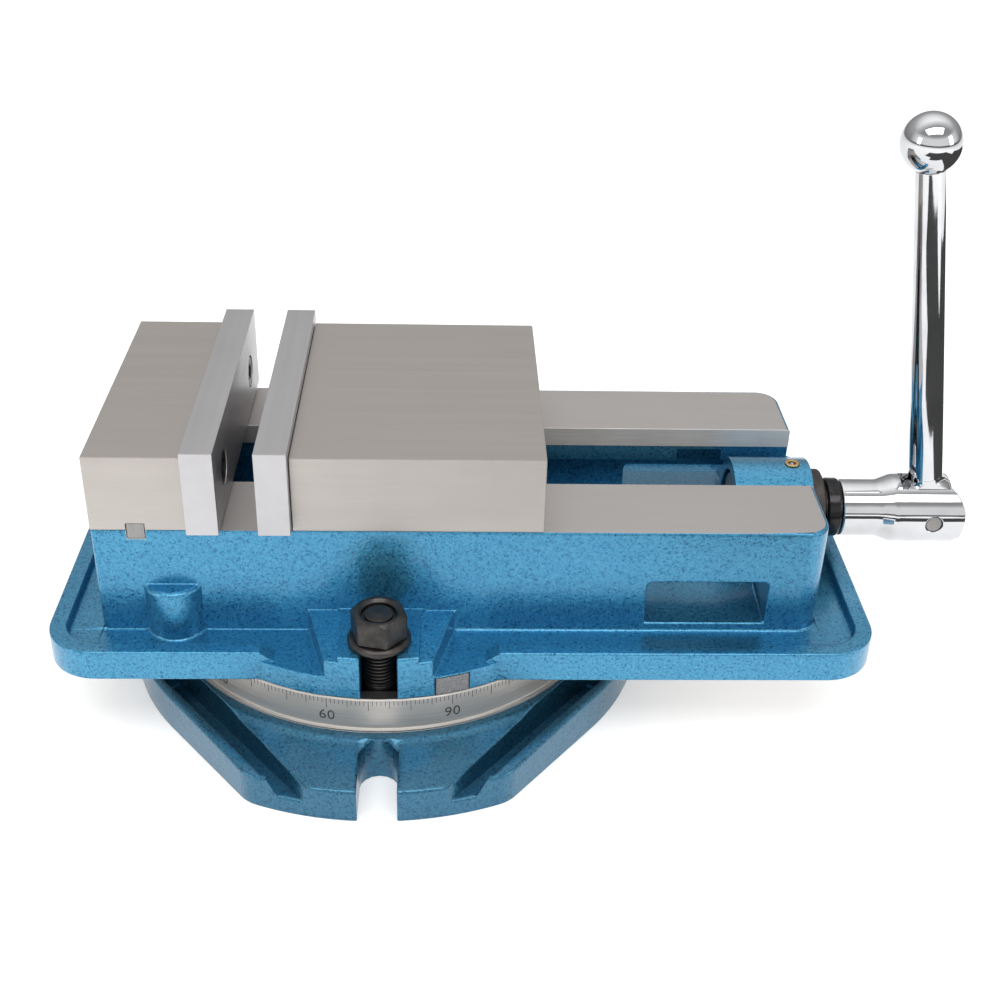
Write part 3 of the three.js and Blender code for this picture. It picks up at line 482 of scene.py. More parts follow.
def facet_lines_dropped(work, reach):
    """Merges the facets whose line comes within reach of a corner, where a rounding has no room for it."""
    soft = set()
    for edge in work.edges:
        if not is_sharp(edge) or edge.calc_length() > reach:
            continue
        lines = [facet_line_at(vert) for vert in edge.verts]
        if (lines[0] is None) != (lines[1] is None):
            soft.add(lines[0] or lines[1])
    bmesh.ops.dissolve_edges(work, edges=list(soft), use_verts=True)
    return work


def room_beside(edge):
    """How wide a rounding of an edge can be before it meets the next edge over."""
    room = math.inf
    faces = set(edge.link_faces)
    for vert in edge.verts:
        along = (edge.other_vert(vert).co - vert.co).normalized()
        for other in vert.link_edges:
            if other == edge or not faces.intersection(other.link_faces):
                continue
            side = other.other_vert(vert).co - vert.co
            across = side.length * math.sin(along.angle(side, 0))
            if side.length > 0 and (across > 0.5 * side.length or along.dot(side) > 0):
                room = min(room, across * ROOM_SHARE)
    return room


def bevelled(work, width_of, segments=3):
    """Rounds each sharp edge by the width that width_of(edge) gives, or by what it has room for."""
    facet_lines_dropped(work, 2.0)
    layer = work.edges.layers.float.new("bevel_weight_edge")
    widths = {edge: min(width_of(edge), room_beside(edge)) for edge in work.edges if is_sharp(edge)}
    widest = max(widths.values())
    for edge, width in widths.items():
        edge[layer] = width / widest
    rounding = {"width": widest, "limit_method": "WEIGHT", "segments": segments,
                "use_clamp_overlap": False, "miter_outer": "MITER_SHARP"}
    return retiled(evaluated(work, [("BEVEL", rounding)]))


def finished_copy(node, material, width, ending="_finished"):
    """Finished copy of a plain CAD node: the same shape with its edges eased."""
    mesh = bevelled(copy_of(node), lambda edge: width, segments=2)
    add_piece(node + ending, mesh, [material], node)


def placed(axis, origin, across, up, along):
    """Point about an axis: across and up are square to it."""
    turn = {"X": (along, across, up), "Y": (up, along, across), "Z": (across, up, along)}[axis]
    return Vector(turn) + Vector(origin)


def turned(profile, axis="X", origin=(0, 0, 0), columns=FINE, closed=True):
    """Turned solid from (radius, along) points, or from a function of the angle that gives them."""
    work = bmesh.new()
    rows = []
    for i in range(columns):
        angle = math.tau * i / columns
        points = profile(angle) if callable(profile) else profile
        rows.append([work.verts.new(placed(axis, origin, r * math.cos(angle), r * math.sin(angle), a))
                     for r, a in points])
    count = len(rows[0])
    last = count if closed else count - 1
    for i, here in enumerate(rows):
        there = rows[(i + 1) % columns]
        for k in range(last):
            work.faces.new((here[k], there[k], there[(k + 1) % count], here[(k + 1) % count]))
    bmesh.ops.remove_doubles(work, verts=work.verts, dist=1e-4)
    bmesh.ops.dissolve_degenerate(work, edges=work.edges, dist=1e-5)
    bmesh.ops.recalc_face_normals(work, faces=work.faces)
    return work


def eased(points, radius, steps=3):
    """Profile with each corner off the axis rounded."""
    made = []
    count = len(points)
    for i, (r, a) in enumerate(points):
        here = Vector((r, a))
        before = Vector(points[i - 1]) - here
        after = Vector(points[(i + 1) % count]) - here
        if r < 1e-6 or abs(before.angle(after, 0) - math.pi) < 0.2:
            made.append((r, a))
            continue
        reach = min(radius, before.length * 0.45, after.length * 0.45)
        start, end = here + before.normalized() * reach, here + after.normalized() * reach
        for k in range(steps + 1):
            t = k / steps
            point = start * (1 - t) ** 2 + here * 2 * t * (1 - t) + end * t ** 2
            made.append(tuple(point))
    return made


def prism(outline, axis, low, high):
    """Straight prism of an outline drawn square to the axis."""
    work = bmesh.new()
    ends = [[work.verts.new(placed(axis, (0, 0, 0), across, up, along)) for across, up in outline]
            for along in (low, high)]
    count = len(outline)
    work.faces.new(ends[0])
    work.faces.new(ends[1])
    for i in range(count):
        j = (i + 1) % count
        work.faces.new((ends[0][i], ends[0][j], ends[1][j], ends[1][i]))
    bmesh.ops.recalc_face_normals(work, faces=work.faces)
    return work


def block(low, high):
    outline = [(low[0], low[1]), (high[0], low[1]), (high[0], high[1]), (low[0], high[1])]
    return prism(outline, "Z", low[2], high[2])


def hexagon(flats, centre=(0, 0)):
    """Corners of a hexagon that measures flats across, from its corner on the first axis."""
    radius = flats / 2 / math.cos(math.radians(30))
    return arc(centre, radius, 0, 300, 5)


def arc(centre, radius, start, end, steps):
    """Points of an arc in degrees."""
    turn = [math.radians(start + (end - start) * i / steps) for i in range(steps + 1)]
    return [(centre[0] + radius * math.cos(t), centre[1] + radius * math.sin(t)) for t in turn]


def combine(first, *steps):
    """Boolean steps, each (operation, tool), on a bmesh."""
    tools = []
    modifiers = []
    for operation, tool in steps:
        holder = linked("tool", mesh_of(tool))
        tools.append(holder)
        modifiers.append(("BOOLEAN", {"object": holder, "operation": operation, "solver": "EXACT"}))
    made = evaluated(first, modifiers)
    for holder in tools:
        bpy.data.objects.remove(holder)
    work = bmesh.new()
    work.from_mesh(made)
    bpy.data.meshes.remove(made)
    bmesh.ops.remove_doubles(work, verts=work.verts, dist=0.001)
    bmesh.ops.dissolve_limit(work, angle_limit=math.radians(0.3), verts=work.verts, edges=work.edges)
    return work


def merged(*works):
    """One bmesh of several separate solids."""
    first = works[0]
    for other in works[1:]:
        mesh = mesh_of(other)
        first.from_mesh(mesh)
        bpy.data.meshes.remove(mesh)
    return first


def threaded(axis, origin, start, end, crest, root, pitch, hand=1, columns=48):
    """Rod with a thread: rows of the mesh follow the helix, so its flanks stay crisp."""
    flank = 0.13
    crest_share = 0.5 - flank
    phases = [(0.0, root), (flank, crest), (flank + crest_share, crest), (2 * flank + crest_share, root)]
    turns = math.ceil((end - start) / pitch) + 2
    stations = [((turn + phase) * pitch, radius) for turn in range(-1, turns) for phase, radius in phases]

    def profile(angle):
        points = [(0.0, start), (root, start)]
        for offset, radius in stations:
            along = start + offset + hand * pitch * angle / math.tau
            inside = start < along < end
            points.append((radius if inside else root, min(max(along, start), end)))
        return points + [(root, end), (0.0, end)]

    work = bmesh.new()
    rows = []
    for i in range(columns + 1):
        angle = math.tau * i / columns
        rows.append([placed(axis, origin, r * math.cos(angle), r * math.sin(angle), a)
                     for r, a in profile(angle)])
    made = [[work.verts.new(point) for point in row] for row in rows]
    for i in range(columns):
        for k in range(len(made[0]) - 1):
            work.faces.new((made[i][k], made[i + 1][k], made[i + 1][k + 1], made[i][k + 1]))
    bmesh.ops.remove_doubles(work, verts=work.verts, dist=1e-3)
    bmesh.ops.dissolve_degenerate(work, edges=work.edges, dist=1e-4)
    bmesh.ops.recalc_face_normals(work, faces=work.faces)
    return work


# ---------------------------------------------------------------- castings


def base_edge(edge):
    """Rounding of an edge of the swivel base: wide on paint, fine on the machined ring."""
    middle = (edge.verts[0].co + edge.verts[1].co) / 2
    if math.hypot(middle.x, middle.y) < RING_LEDGE_RADIUS + 0.3:
        return SCALE_ROUNDING
    return FOOT_ROUNDING if middle.z < 1 else BASE_ROUNDING


def base_face(face):
    """0 for paint, 1 for the scale's steel, 2 for plain machined iron."""
    middle = face.calc_center_median()
    radius = math.hypot(middle.x, middle.y)
    if RING_RADIUS - 2 < radius < RING_LEDGE_RADIUS - 0.5 and middle.z > RING_LEDGE_Z:
        return 1
    on_ledge = radius < RING_LEDGE_RADIUS + 0.2 and middle.z > RING_LEDGE_Z - 1.2
    inside = radius < RING_RADIUS - 2
    underneath = middle.z < 0.3
    return 2 if on_ledge or inside or underneath else 0


def body_edge(edge):
    """Rounding of an edge of the vise body: wide on paint, fine between machined faces."""
    middle = (edge.verts[0].co + edge.verts[1].co) / 2
    aside, height = abs(middle.y), middle.z
    if height < BED_BOTTOM + 0.5:
        return FOOT_ROUNDING
    if RIM_DIP[0] < abs(middle.x) < RIM_DIP[1] and aside > RIM_DIP_Y:
        return MILLED_ROUNDING
    if middle.x > CHANNEL_LEFT - 1 and aside < LIP_HALF + 0.2 and height > BED_TOP - STRIP_DEPTH - 0.2:
        return MILLED_ROUNDING
    if height > BED_TOP - 0.2 and (aside > LIP_HALF + 20 or middle.x > BOSS_LEFT):
        return WALL_TOP_ROUNDING
    if BUMP_TOP - 1 < height < BUMP_TOP + 1 and middle.x < -80:
        return BUMP_ROUNDING
    if EAR_TOP - 1 < height < EAR_PAD + 1 and aside < WALL_HALF + 0.5:
        return EAR_ROUNDING
    if SEAT_LEFT < middle.x < CHANNEL_LEFT + 1 and height > BED_TOP - 6:
        return MILLED_ROUNDING
    if aside < CHANNEL_WIDE_HALF and height < CHANNEL_WIDE_TOP:
        return CHANNEL_ROUNDING
    return CONVEX_ROUNDING if edge.is_convex else CONCAVE_ROUNDING


def body_face(face):
    """0 for paint, 1 for the ground rails, 2 for the milled strips and faces."""
    middle = face.calc_center_median()
    if middle.z > BED_TOP - 0.02 and face.normal.z > 0.99:
        return 1
    at_side = CHANNEL_HALF - 1 < abs(middle.y) < LIP_HALF - 0.1 and CHANNEL_LEFT - 1 < middle.x
    at_end = abs(middle.y) < CHANNEL_HALF and abs(middle.x - CHANNEL_LEFT) < 1
    on_strip = (at_side or at_end) and BED_TOP - STRIP_DEPTH - 0.1 < middle.z < BED_TOP
    in_keyway = KEYWAY[0] < middle.x < KEYWAY[1] and middle.z > KEYWAY_FLOOR and abs(face.normal.y) < 0.9
    underneath = middle.z < BED_BOTTOM + 0.05
    return 2 if on_strip or in_keyway or underneath else 0


def ears_raised(work):
    """Lets the ears' tops climb towards the wall, so that the clamp pads stand clear only at the front."""
    for vert in work.verts:
        at_wall = abs(abs(vert.co.y) - WALL_HALF) < 0.5
        if at_wall and abs(vert.co.z - EAR_TOP) < 0.1 and abs(vert.co.x) < EAR_REACH:
            vert.co.z += EAR_RISE
    return work


def sorted_faces(mesh, rule):
    """Gives each face of a mesh the material that the rule picks."""
    work = bmesh.new()
    work.from_mesh(mesh)
    for face in work.faces:
        face.material_index = rule(face)
    work.to_mesh(mesh)
    work.free()
    return mesh


def castings():
    base = sorted_faces(bevelled(copy_of("swivel_base"), base_edge), base_face)
    add_piece("swivel_base_casting", base, [SHADED_BASE_PAINT, SCALE, PLAIN], "swivel_base")
    body = sorted_faces(bevelled(ears_raised(copy_of("vise_body")), body_edge), body_face)
    add_piece("vise_body_casting", body, [PAINT, RAIL, STRIP], "vise_body")
    finished_copy("index_plate", INDEX, 0.3)


# ---------------------------------------------------------------- graduations


def on_ring(angle, z, radius):
    return Vector((radius * math.cos(angle), radius * math.sin(angle), z))


def scale_angle(reading):
    """Angle about Z of a reading of the scale: the index plate stands over SCALE_READS."""
    low, high = box_mm("index_plate")
    index = math.atan2((low.y + high.y) / 2, (low.x + high.x) / 2)
    return index + math.radians(reading - SCALE_READS)


def scale_marks():
    """One thin inlay for each degree, longer at 5 and 10."""
    work = bmesh.new()
    half = MARK_WIDTH / 2 / RING_RADIUS
    for degree in range(360):
        length = next(MARK_LENGTHS[step] for step in (10, 5, 1) if degree % step == 0)
        centre = scale_angle(degree)
        foot = MARK_TOP - length
        corners = [work.verts.new(on_ring(centre + side * half, z, radius))
                   for radius in (RING_RADIUS - MARK_DEPTH, RING_RADIUS + MARK_PROUD)
                   for side, z in ((-1, foot), (1, foot), (1, MARK_TOP), (-1, MARK_TOP))]
        for quad in ((0, 3, 2, 1), (4, 5, 6, 7), (0, 1, 5, 4), (1, 2, 6, 5), (2, 3, 7, 6), (3, 0, 4, 7)):
            work.faces.new([corners[i] for i in quad])
    bmesh.ops.recalc_face_normals(work, faces=work.faces)
    add_piece("scale_marks", work, [ETCHED], "swivel_base")


def scale_number(reading):
    """Digits of one reading, drawn flat and then wrapped round the ring."""
    text = bpy.data.curves.new("digits", "FONT")
    text.body = str(reading)
    text.size = DIGIT_HEIGHT / CAP_HEIGHT
    text.align_x = "CENTER"
    text.extrude = (MARK_DEPTH + MARK_PROUD) / 2
    text.space_character = 1.08
    holder = linked("digits", text)
    graph = bpy.context.evaluated_depsgraph_get()
    mesh = bpy.data.meshes.new_from_object(holder.evaluated_get(graph))
    bpy.data.objects.remove(holder)
    work = bmesh.new()
    work.from_mesh(mesh)
    bpy.data.meshes.remove(mesh)
    bmesh.ops.remove_doubles(work, verts=work.verts, dist=1e-4)
    centre = scale_angle(reading)
    mid_depth = RING_RADIUS + (MARK_PROUD - MARK_DEPTH) / 2
    for vert in work.verts:
        x, y, z = vert.co
        vert.co = on_ring(centre + x / RING_RADIUS, DIGIT_FOOT_Z + y, mid_depth + z)
    return work


def scale_numbers():
    numbers = [scale_number(reading) for reading in range(0, 360, DIGIT_STEP)]
    add_piece("scale_numbers", merged(*numbers), [ETCHED], "swivel_base")


# ---------------------------------------------------------------- jaws


def jaw_edge(edge):
    """Rounding of an edge of a jaw block: wider on its long edges than round its holes."""
    return 0.55 if edge.calc_length() > 20 else 0.25


def jaws():
    for node in ("fixed_jaw", "moving_jaw"):
        add_piece(node + "_block", bevelled(copy_of(node), jaw_edge, segments=2), [GROUND], node)
    for node in ("fixed_jaw_plate", "moving_jaw_plate"):
        finished_copy(node, HARD, 0.25, "_ground")
    finished_copy("fixed_jaw_key", PLAIN, 0.25)
    finished_copy("jaw_nut", BLACK, 0.5)
    finished_copy("jaw_half_ball", HARD, 0.3)
    finished_copy("jaw_set_screw", BLACK, 0.2)


def cap_screw(node, facing):
    """Socket cap screw along X whose head looks along facing."""
    low, high = box_mm(node)
    centre = (low + high) / 2
    line = (0, centre.y, centre.z)
    head_radius = (high.y - low.y) / 2
    head_length, flats, socket_depth = 9.7, 8, 5
    crest = head_radius * 5 / 8
    root, pitch = crest - 0.8, 1.5
    tip, face = (low.x, high.x) if facing > 0 else (high.x, low.x)
    neck = face - facing * head_length
    outline = [(0, neck), (head_radius, neck), (head_radius, face), (0, face)]
    head = turned(eased(outline, 0.7), "X", line, 64)
    socket = prism(hexagon(flats, (centre.y, centre.z)), "X",
                   *sorted((face - facing * socket_depth, face + facing)))
    rod = threaded("X", line, *sorted((tip, neck)), crest, root, pitch, columns=32)
    add_piece(node + "_socket_cap", merged(combine(head, ("DIFFERENCE", socket)), rod), [BLACK], node)


# ---------------------------------------------------------------- clamps


def hex_radius(angle, flats, turn):
    """Distance from the axis to a hexagon's edge at an angle."""
    return flats / 2 / math.cos((angle - turn) % math.radians(60) - math.radians(30))


def clamp_nut(node):
    """Hexagon nut with its corners turned off at the top."""
    low, high = box_mm(node)
    y = (low.y + high.y) / 2
    flats, height, bore = 24.0, high.z - low.z, 8.3
    turn = math.radians(-13)
    crown = flats / 2 - 0.7
    corner = flats / 2 / math.cos(math.radians(30)) - 0.25

    def profile(angle):
        wide = min(hex_radius(angle, flats, turn), corner)
        shoulder = height - 0.25 - (wide - crown) * 0.62
        return [(bore, 0.6), (bore + 0.6, 0), (wide - 0.5, 0), (wide, 0.5), (wide, shoulder - 0.3),
                (wide - 0.25, shoulder + 0.15), (crown + 0.3, height - 0.12), (crown - 0.3, height),
                (bore + 1.5, height), (bore + 1.2, height - 0.15), (bore, height - 1.3)]

    add_piece(node + "_hexagon", turned(profile, "Z", (0, y, low.z), 180), [BLACK], node)


def clamp_washer(node):
    """Thick washer with its top edge turned off."""
    low, high = box_mm(node)
    y = (low.y + high.y) / 2
    outer, bore, thick = (high.x - low.x) / 2, 8.6, high.z - low.z
    outline = [(bore, 0), (outer, 0), (outer, thick * 0.6), (outer - 1.5, thick), (bore, thick)]
    add_piece(node + "_turned", turned(eased(outline, 0.5), "Z", (0, y, low.z), 96), [BLACK], node)


def t_bolt(node):
    """T-head with eased edges, and a stud with its thread cut on it."""
    low, high = box_mm(node)
    y = (low.y + high.y) / 2
    line = (0, y, 0)
    half, head_top = (high.x - low.x) / 2, low.z + 10.3
    shank_radius, shank_top = 7.9, 44.0
    crest, root, pitch = 8.0, 6.9, 2.0
    head = block((-half, y - half, low.z), (half, y + half, head_top))
    bmesh.ops.bevel(head, geom=head.edges[:], offset=1.0, segments=2, affect="EDGES")
    outline = [(0, head_top - 1), (shank_radius, head_top - 1), (shank_radius, shank_top), (0, shank_top)]
    shank = turned(eased(outline, 0.4), "Z", line, 48, closed=False)
    thread = threaded("Z", line, shank_top - 1, high.z - 1.2, crest, root, pitch, columns=64)
    tip_foot = high.z - 1.3
    tip_outline = [(0, tip_foot), (7.0, tip_foot), (6.7, high.z - 0.25), (6.2, high.z), (0, high.z)]
    tip = turned(tip_outline, "Z", line, 64, closed=False)
    add_piece(node + "_threaded", merged(head, shank, thread, tip), [BLACK], node)


def clamps():
    for place in ("front", "rear"):
        clamp_nut("clamp_nut_" + place)
        clamp_washer("clamp_washer_" + place)
        t_bolt("t_bolt_" + place)


# ---------------------------------------------------------------- screw line


def ring_about_screw(node, bore, material, bevel):
    """Plain ring on the screw's line, as long and as wide as its CAD node."""
    low, high = box_mm(node)
    radius = (high.y - low.y) / 2
    outline = [(bore, low.x), (radius, low.x), (radius, high.x), (bore, high.x)]
    add_piece(node + "_turned", turned(eased(outline, bevel, 4), "X", SCREW_LINE), [material], node)


def lead_screw():
    """Left-hand screw with its thrust flange, its journal and the hexagon that the crank fits on."""
    low, high = box_mm("lead_screw")
    thread = threaded("X", SCREW_LINE, low.x, THREAD_END, THREAD_CREST, THREAD_ROOT, SCREW_LEAD,
                      hand=-1, columns=72)
    outline = [(0, THREAD_END - 1), (THREAD_ROOT, THREAD_END - 1), (NECK_RADIUS, THREAD_END + 1),
               (NECK_RADIUS, FLANGE_LEFT), (FLANGE_RADIUS, FLANGE_LEFT), (FLANGE_RADIUS, FLANGE_RIGHT),
               (JOURNAL_RADIUS, FLANGE_RIGHT), (JOURNAL_RADIUS, JOURNAL_END), (0, JOURNAL_END)]
    shaft = turned(eased(outline, 0.5), "X", SCREW_LINE, closed=False)
    hexagon_end = prism(hexagon(HEX_FLATS, (0, SCREW_Z)), "X", JOURNAL_END - 1, high.x)
    bmesh.ops.bevel(hexagon_end, geom=hexagon_end.edges[:], offset=0.5, segments=2, affect="EDGES")
    add_piece("lead_screw_threaded", merged(thread, shaft, hexagon_end), [SCREW], "lead_screw")


def ball_cage():
    """Brass ring of the thrust bearing with its steel balls."""
    low, high = box_mm("thrust_ball_cage")
    middle, pitch_radius = (low.x + high.x) / 2, (BEARING_BORE + BEARING_RADIUS) / 2
    inner, outer, half_width = 11.2, 16.7, 1
    ball_count, ball_radius = 10, 2
    outline = [(inner, middle - half_width), (outer, middle - half_width), (outer, middle + half_width),
               (inner, middle + half_width)]
    cage = turned(eased(outline, 0.3), "X", SCREW_LINE)
    balls = []
    for i in range(ball_count):
        angle = math.tau * i / ball_count
        ball = bmesh.new()
        bmesh.ops.create_uvsphere(ball, u_segments=24, v_segments=16, radius=ball_radius)
        centre = (middle, pitch_radius * math.cos(angle), SCREW_Z + pitch_radius * math.sin(angle))
        bmesh.ops.translate(ball, vec=centre, verts=ball.verts)
        for face in ball.faces:
            face.material_index = 1
        balls.append(ball)
    add_piece("thrust_ball_cage_assembled", merged(cage, *balls), [BRASS, PLAIN], "thrust_ball_cage")


def oiler():
    """Spring-ball oil cup on top of the bearing boss."""
    low, high = box_mm("oil_cup")
    x, rim = (low.x + high.x) / 2, (high.x - low.x) / 2
    drill, cup, cup_depth, stem, flange = 1, 1.9, 2.4, 3.1, 0.8
    seat = high.z - flange
    cup_floor = seat - cup_depth
    outline = [(drill, low.z), (stem, low.z), (stem, seat), (rim, seat), (rim, high.z), (cup, high.z),
               (cup, cup_floor), (drill, cup_floor)]
    add_piece("oil_cup_turned", turned(eased(outline, 0.25), "Z", (x, 0, 0), 64), [BRASS], "oil_cup")
    ball_low, ball_high = box_mm("oil_cup_ball")
    ball = bmesh.new()
    bmesh.ops.create_uvsphere(ball, u_segments=32, v_segments=20, radius=(ball_high.z - ball_low.z) / 2)
    bmesh.ops.translate(ball, vec=(ball_low + ball_high) / 2, verts=ball.verts)
    add_piece("oil_cup_steel_ball", ball, [PLAIN], "oil_cup_ball")


def screw_line():
    lead_screw()
    ring_about_screw("end_play_nut", 10.3, DARK_NUT, 1.4)
    ring_about_screw("lock_nut", 10.3, GLOSS_NUT, 1.6)
    ring_about_screw("thrust_race_fixed", BEARING_BORE, HARD, 0.4)
    ring_about_screw("thrust_race_turning", BEARING_BORE, HARD, 0.4)
    ring_about_screw("screw_bush", 10.3, BRONZE, 0.4)
    ball_cage()
    oiler()


# ---------------------------------------------------------------- crank handle


def pin_bore(half, origin):
    """Cutter for the pin's hole, which reaches half to either side."""
    outline = [(0, -half), (PIN_BORE, -half), (PIN_BORE, half), (0, half)]
    return turned(outline, "Y", origin, 48, closed=False)


def handle_hub():
    """Clevis: turned body with a round-ended slot for the arm and a hexagon socket for the screw."""
    low, high = box_mm("handle_hub")
    radius = (high.y - low.y) / 2
    past = radius + 1
    neck, neck_end, body_start, end_round = 15.0, 257.0, 264.5, 13.0
    slot_left, slot_half, socket_flats, socket_end = 268.0, 8.5, 17.6, 257
    outline = [(0, low.x), (neck, low.x), (neck, neck_end), (radius, body_start), (radius, high.x + 1),
               (0, high.x + 1)]
    body = turned(eased(outline, 1.6, 5), "X", SCREW_LINE, 160, closed=False)
    round_x, round_up = high.x - end_round, radius - end_round
    top = [(up, along) for along, up in arc((round_x, round_up), end_round, 90, 0, 12)]
    bottom = [(up, along) for along, up in arc((round_x, -round_up), end_round, 0, -90, 12)]
    side = [(-past, low.x - 1), (past, low.x - 1)] + top + bottom
    profile = prism([(up + SCREW_Z, along) for up, along in side], "Y", -past, past)
    slot = block((slot_left, -slot_half, SCREW_Z - past), (high.x + 2, slot_half, SCREW_Z + past))
    socket = prism(hexagon(socket_flats, (0, SCREW_Z)), "X", low.x - 1, socket_end)
    work = combine(body, ("INTERSECT", profile), ("DIFFERENCE", slot), ("DIFFERENCE", socket),
                   ("DIFFERENCE", pin_bore(past, (PIVOT_X, 0, SCREW_Z))))
    add_piece("handle_hub_clevis", bevelled(work, lambda edge: 0.5), [CHROME], "handle_hub")


def handle_pin():
    low, high = box_mm("handle_pin")
    half, radius = (high.y - low.y) / 2, (high.x - low.x) / 2
    outline = [(0, -half), (radius, -half), (radius, half), (0, half)]
    work = turned(eased(outline, 0.6), "Y", (PIVOT_X, 0, SCREW_Z), 64, closed=False)
    add_piece("handle_pin_turned", work, [PLAIN], "handle_pin")


def arm_pose(work):
    """Leans a piece that was made upright over the origin and puts it on the pivot."""
    lean = Matrix.Translation((PIVOT_X, 0, SCREW_Z)) @ Matrix.Rotation(math.radians(ARM_LEAN), 4, "Y")
    bmesh.ops.transform(work, matrix=lean, verts=work.verts)
    return work


def handle_arm():
    """Arm with its flat eye: a turned blank with two flats milled on its foot."""
    eye, eye_half, flats_top = 13.5, 8.2, 21
    shaft_root, shaft_foot, shaft_tip, shaft_top = 8.7, 20.5, 7.05, 186.0
    stud, stud_top = 5.2, shaft_top + 2
    past, past_top = 30, 220
    shoulder = [(eye, 12.0), (eye - 0.4, 13.6), (eye - 1.7, 15.4), (eye - 3.6, 17.2),
                (shaft_root + 0.25, 18.8)]
    shaft = [(shaft_root, shaft_foot), (shaft_tip, shaft_top)]
    stud_outline = [(stud, shaft_top), (stud, stud_top), (0, stud_top)]
    outline = [(0, -eye), (eye, -eye)] + shoulder + shaft + stud_outline
    blank = turned(outline, "Z", (0, 0, 0), 160, closed=False)
    foot = [(up, across) for across, up in arc((0, 0), eye, 180, 360, 40)]
    side = prism(foot + [(past_top, eye), (past_top, -eye)], "Y", -past, past)
    near_flat = block((-past, -past, -past), (past, -eye_half, flats_top))
    far_flat = block((-past, eye_half, -past), (past, past, flats_top))
    work = combine(blank, ("INTERSECT", side), ("DIFFERENCE", near_flat), ("DIFFERENCE", far_flat),
                   ("DIFFERENCE", pin_bore(past, (0, 0, 0))))
    add_piece("handle_arm_turned", bevelled(arm_pose(work), lambda edge: 0.45), [CHROME], "handle_arm")


def handle_ball():
    """Ball with a flat seat, screwed on the arm's stud."""
    centre, radius, seat = 198.5, 14.27, 186.3
    start = -math.degrees(math.asin((centre - seat) / radius))
    outline = [(r, centre + z) for r, z in arc((0, 0), radius, start, 90, 48)]
    work = turned([(0, seat)] + outline, "Z", (0, 0, 0), 128, closed=False)
    add_piece("handle_ball_knob", arm_pose(work), [CHROME], "handle_ball")


def crank():
    handle_hub()
    handle_pin()
    handle_arm()
    handle_ball()


# ---------------------------------------------------------------- stage

CAMERA_PLACE = (32.1, -637.0, 470.3)
CAMERA_YAW, CAMERA_PITCH, CAMERA_ROLL = -2.41, -31.30, 1.64
CAMERA_LENS = 51.296

FLOOR_SIZE = 6.0                 # in metres, as is all of the stage below
FLOOR_GLOW = 0.34
# left, right, near and far edges of the cards
FLAGS = ((0.18, 0.9, -0.36, -0.25), (0.0, 0.9, -0.75, -0.36), (0.45, 1.3, -0.25, 0.7))
FLAG_Z = 0.001

# where each light hangs, where it aims, its two sides and its power
LIGHTS = {"overhead": ((0.0, -1.7, 3.0), (0.0, -1.7, 0.0), (3.4, 1.7), 60),
          "left": ((-1.8, -1.0, 0.8), (0.0, 0.0, 0.05), (0.6, 0.9), 4),
          "right": ((1.8, -0.9, 0.8), (0.0, 0.0, 0.05), (0.5, 0.9), 4)}

# brightness of the studio's walls by height: 0.5 is the horizon and 1 is straight up
FRONT_WALL = ((0.0, 0.8), (0.49, 0.8), (0.5, 0.08), (0.525, 0.08),
              (0.55, 1.0), (0.72, 1.0), (0.8, 0.4), (1.0, 0.4))
BACK_WALL = ((0.0, 0.8), (0.49, 0.8), (0.5, 0.25), (0.76, 0.52), (0.86, 0.95), (1.0, 1.5))
BACKDROP = 0.98                  # what the camera itself sees behind the floor


def camera():
    data = bpy.data.cameras.new("camera")
    data.sensor_width = 36
    data.lens = CAMERA_LENS
    data.clip_start, data.clip_end = 0.01, 50
    holder = linked("camera", data)
    turn = (Matrix.Rotation(math.radians(CAMERA_YAW), 4, "Z")
            @ Matrix.Rotation(math.radians(90 + CAMERA_PITCH), 4, "X")
            @ Matrix.Rotation(math.radians(CAMERA_ROLL), 4, "Z"))
    holder.matrix_world = Matrix.Translation(Vector(CAMERA_PLACE) * MM) @ turn
    bpy.context.scene.camera = holder


def floor():
    """Pale floor with a faint glow, so that it stays nearly white round the vise."""
    work = bmesh.new()
    bmesh.ops.create_grid(work, x_segments=8, y_segments=8, size=FLOOR_SIZE)
    mesh = mesh_of(work, "floor")
    shader = Shader("pale_floor", Roughness=0.85, Specular_IOR_Level=0.15, Emission_Strength=FLOOR_GLOW)
    grain = shader.noise(4.0, detail=3.0)
    shader.drive("Base Color", shader.ramp(grain, (0.3, (0.89,) * 3), (0.7, (0.91,) * 3)))
    mesh.materials.append(shader.material)
    linked("floor", mesh)


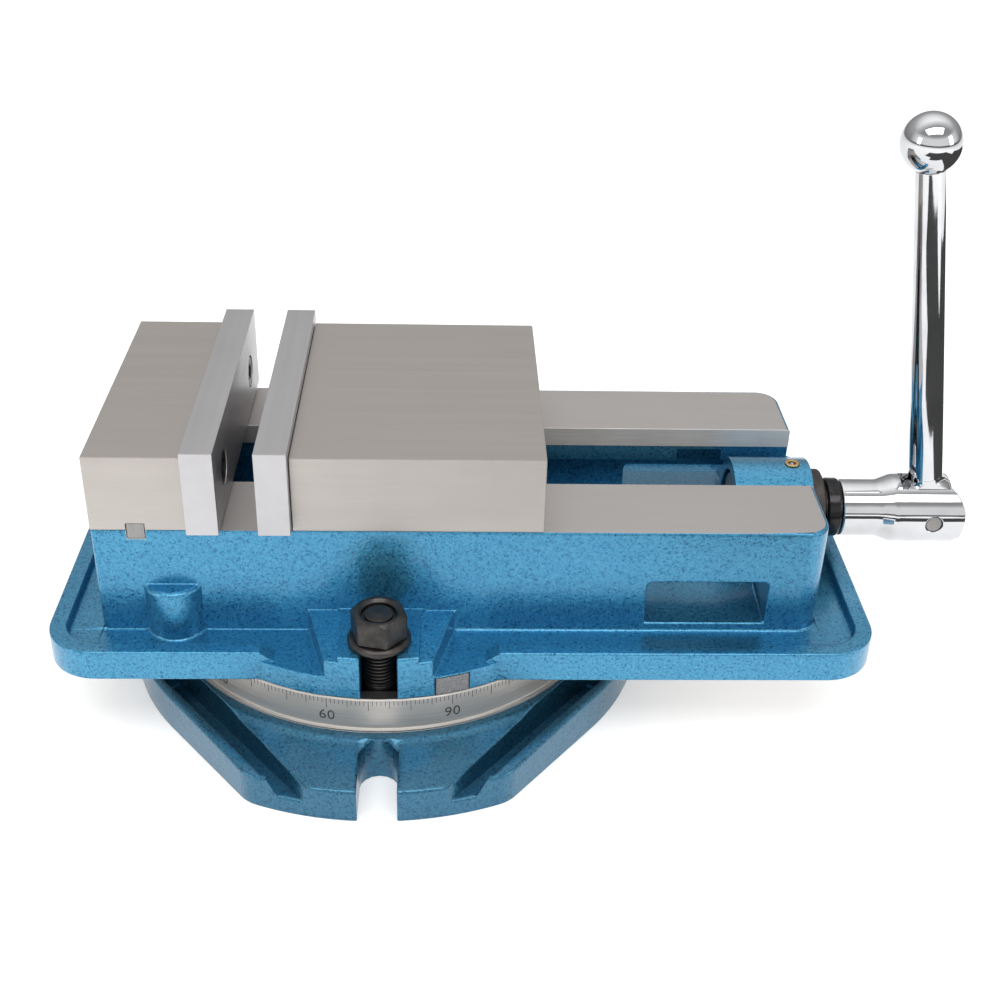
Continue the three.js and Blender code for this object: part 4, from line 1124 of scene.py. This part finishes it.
def flags():
    """Dark cards on the floor that only reflections can see: they darken the polished crank's middle."""
    mesh = bpy.data.meshes.new("flags")
    corners = []
    for left, right, near, far in FLAGS:
        corners += [(left, near, FLAG_Z), (right, near, FLAG_Z), (right, far, FLAG_Z), (left, far, FLAG_Z)]
    mesh.from_pydata(corners, [], [range(i, i + 4) for i in range(0, len(corners), 4)])
    shader = Shader("black_card", Roughness=1.0, Specular_IOR_Level=0.0)
    shader.drive("Base Color", (0.07, 0.07, 0.07, 1))
    mesh.materials.append(shader.material)
    cards = linked("flags", mesh)
    cards.visible_camera = False
    cards.visible_diffuse = False
    cards.visible_shadow = False
    cards.visible_transmission = False


def studio_world():
    """Grey walls that are dark near the horizon in front, so that polished metal shows dark bands."""
    world = bpy.data.worlds.new("studio")
    world.use_nodes = True
    nodes = NodeTree(world.node_tree)
    split = nodes.node("SeparateXYZ")
    nodes.feed(split.inputs[0], nodes.node("TexCoord").outputs["Generated"])
    height = nodes.mapped(split.outputs["Z"], -1.0, 1.0)
    behind = nodes.mapped(split.outputs["Y"], -0.25, 0.25)
    front, back = [nodes.ramp(height, *[(position, (grey,) * 3) for position, grey in stops])
                   for stops in (FRONT_WALL, BACK_WALL)]
    walls = nodes.mix(behind, front, back)
    seen = nodes.mix(nodes.node("LightPath").outputs["Is Camera Ray"], walls, (BACKDROP,) * 3)
    nodes.feed(world.node_tree.nodes["Background"].inputs["Color"], seen)
    bpy.context.scene.world = world


def lights():
    for name, (place, aim, size, power) in LIGHTS.items():
        data = bpy.data.lights.new(name, "AREA")
        data.shape = "RECTANGLE"
        data.size, data.size_y = size
        data.energy = power
        light = linked(name, data)
        light.location = place
        light.rotation_euler = (Vector(aim) - Vector(place)).to_track_quat("-Z", "Y").to_euler()


# ---------------------------------------------------------------- the whole scene

camera()
castings()
scale_marks()
scale_numbers()
jaws()
for side_name in ("front", "rear"):
    cap_screw("fixed_plate_screw_" + side_name, 1)
    cap_screw("moving_plate_screw_" + side_name, -1)
    finished_copy("fixed_jaw_bolt_" + side_name, BLACK, 0.3)
clamps()
screw_line()
crank()
floor()
flags()
studio_world()
lights()
bpy.context.scene.view_settings.view_transform = "Standard"
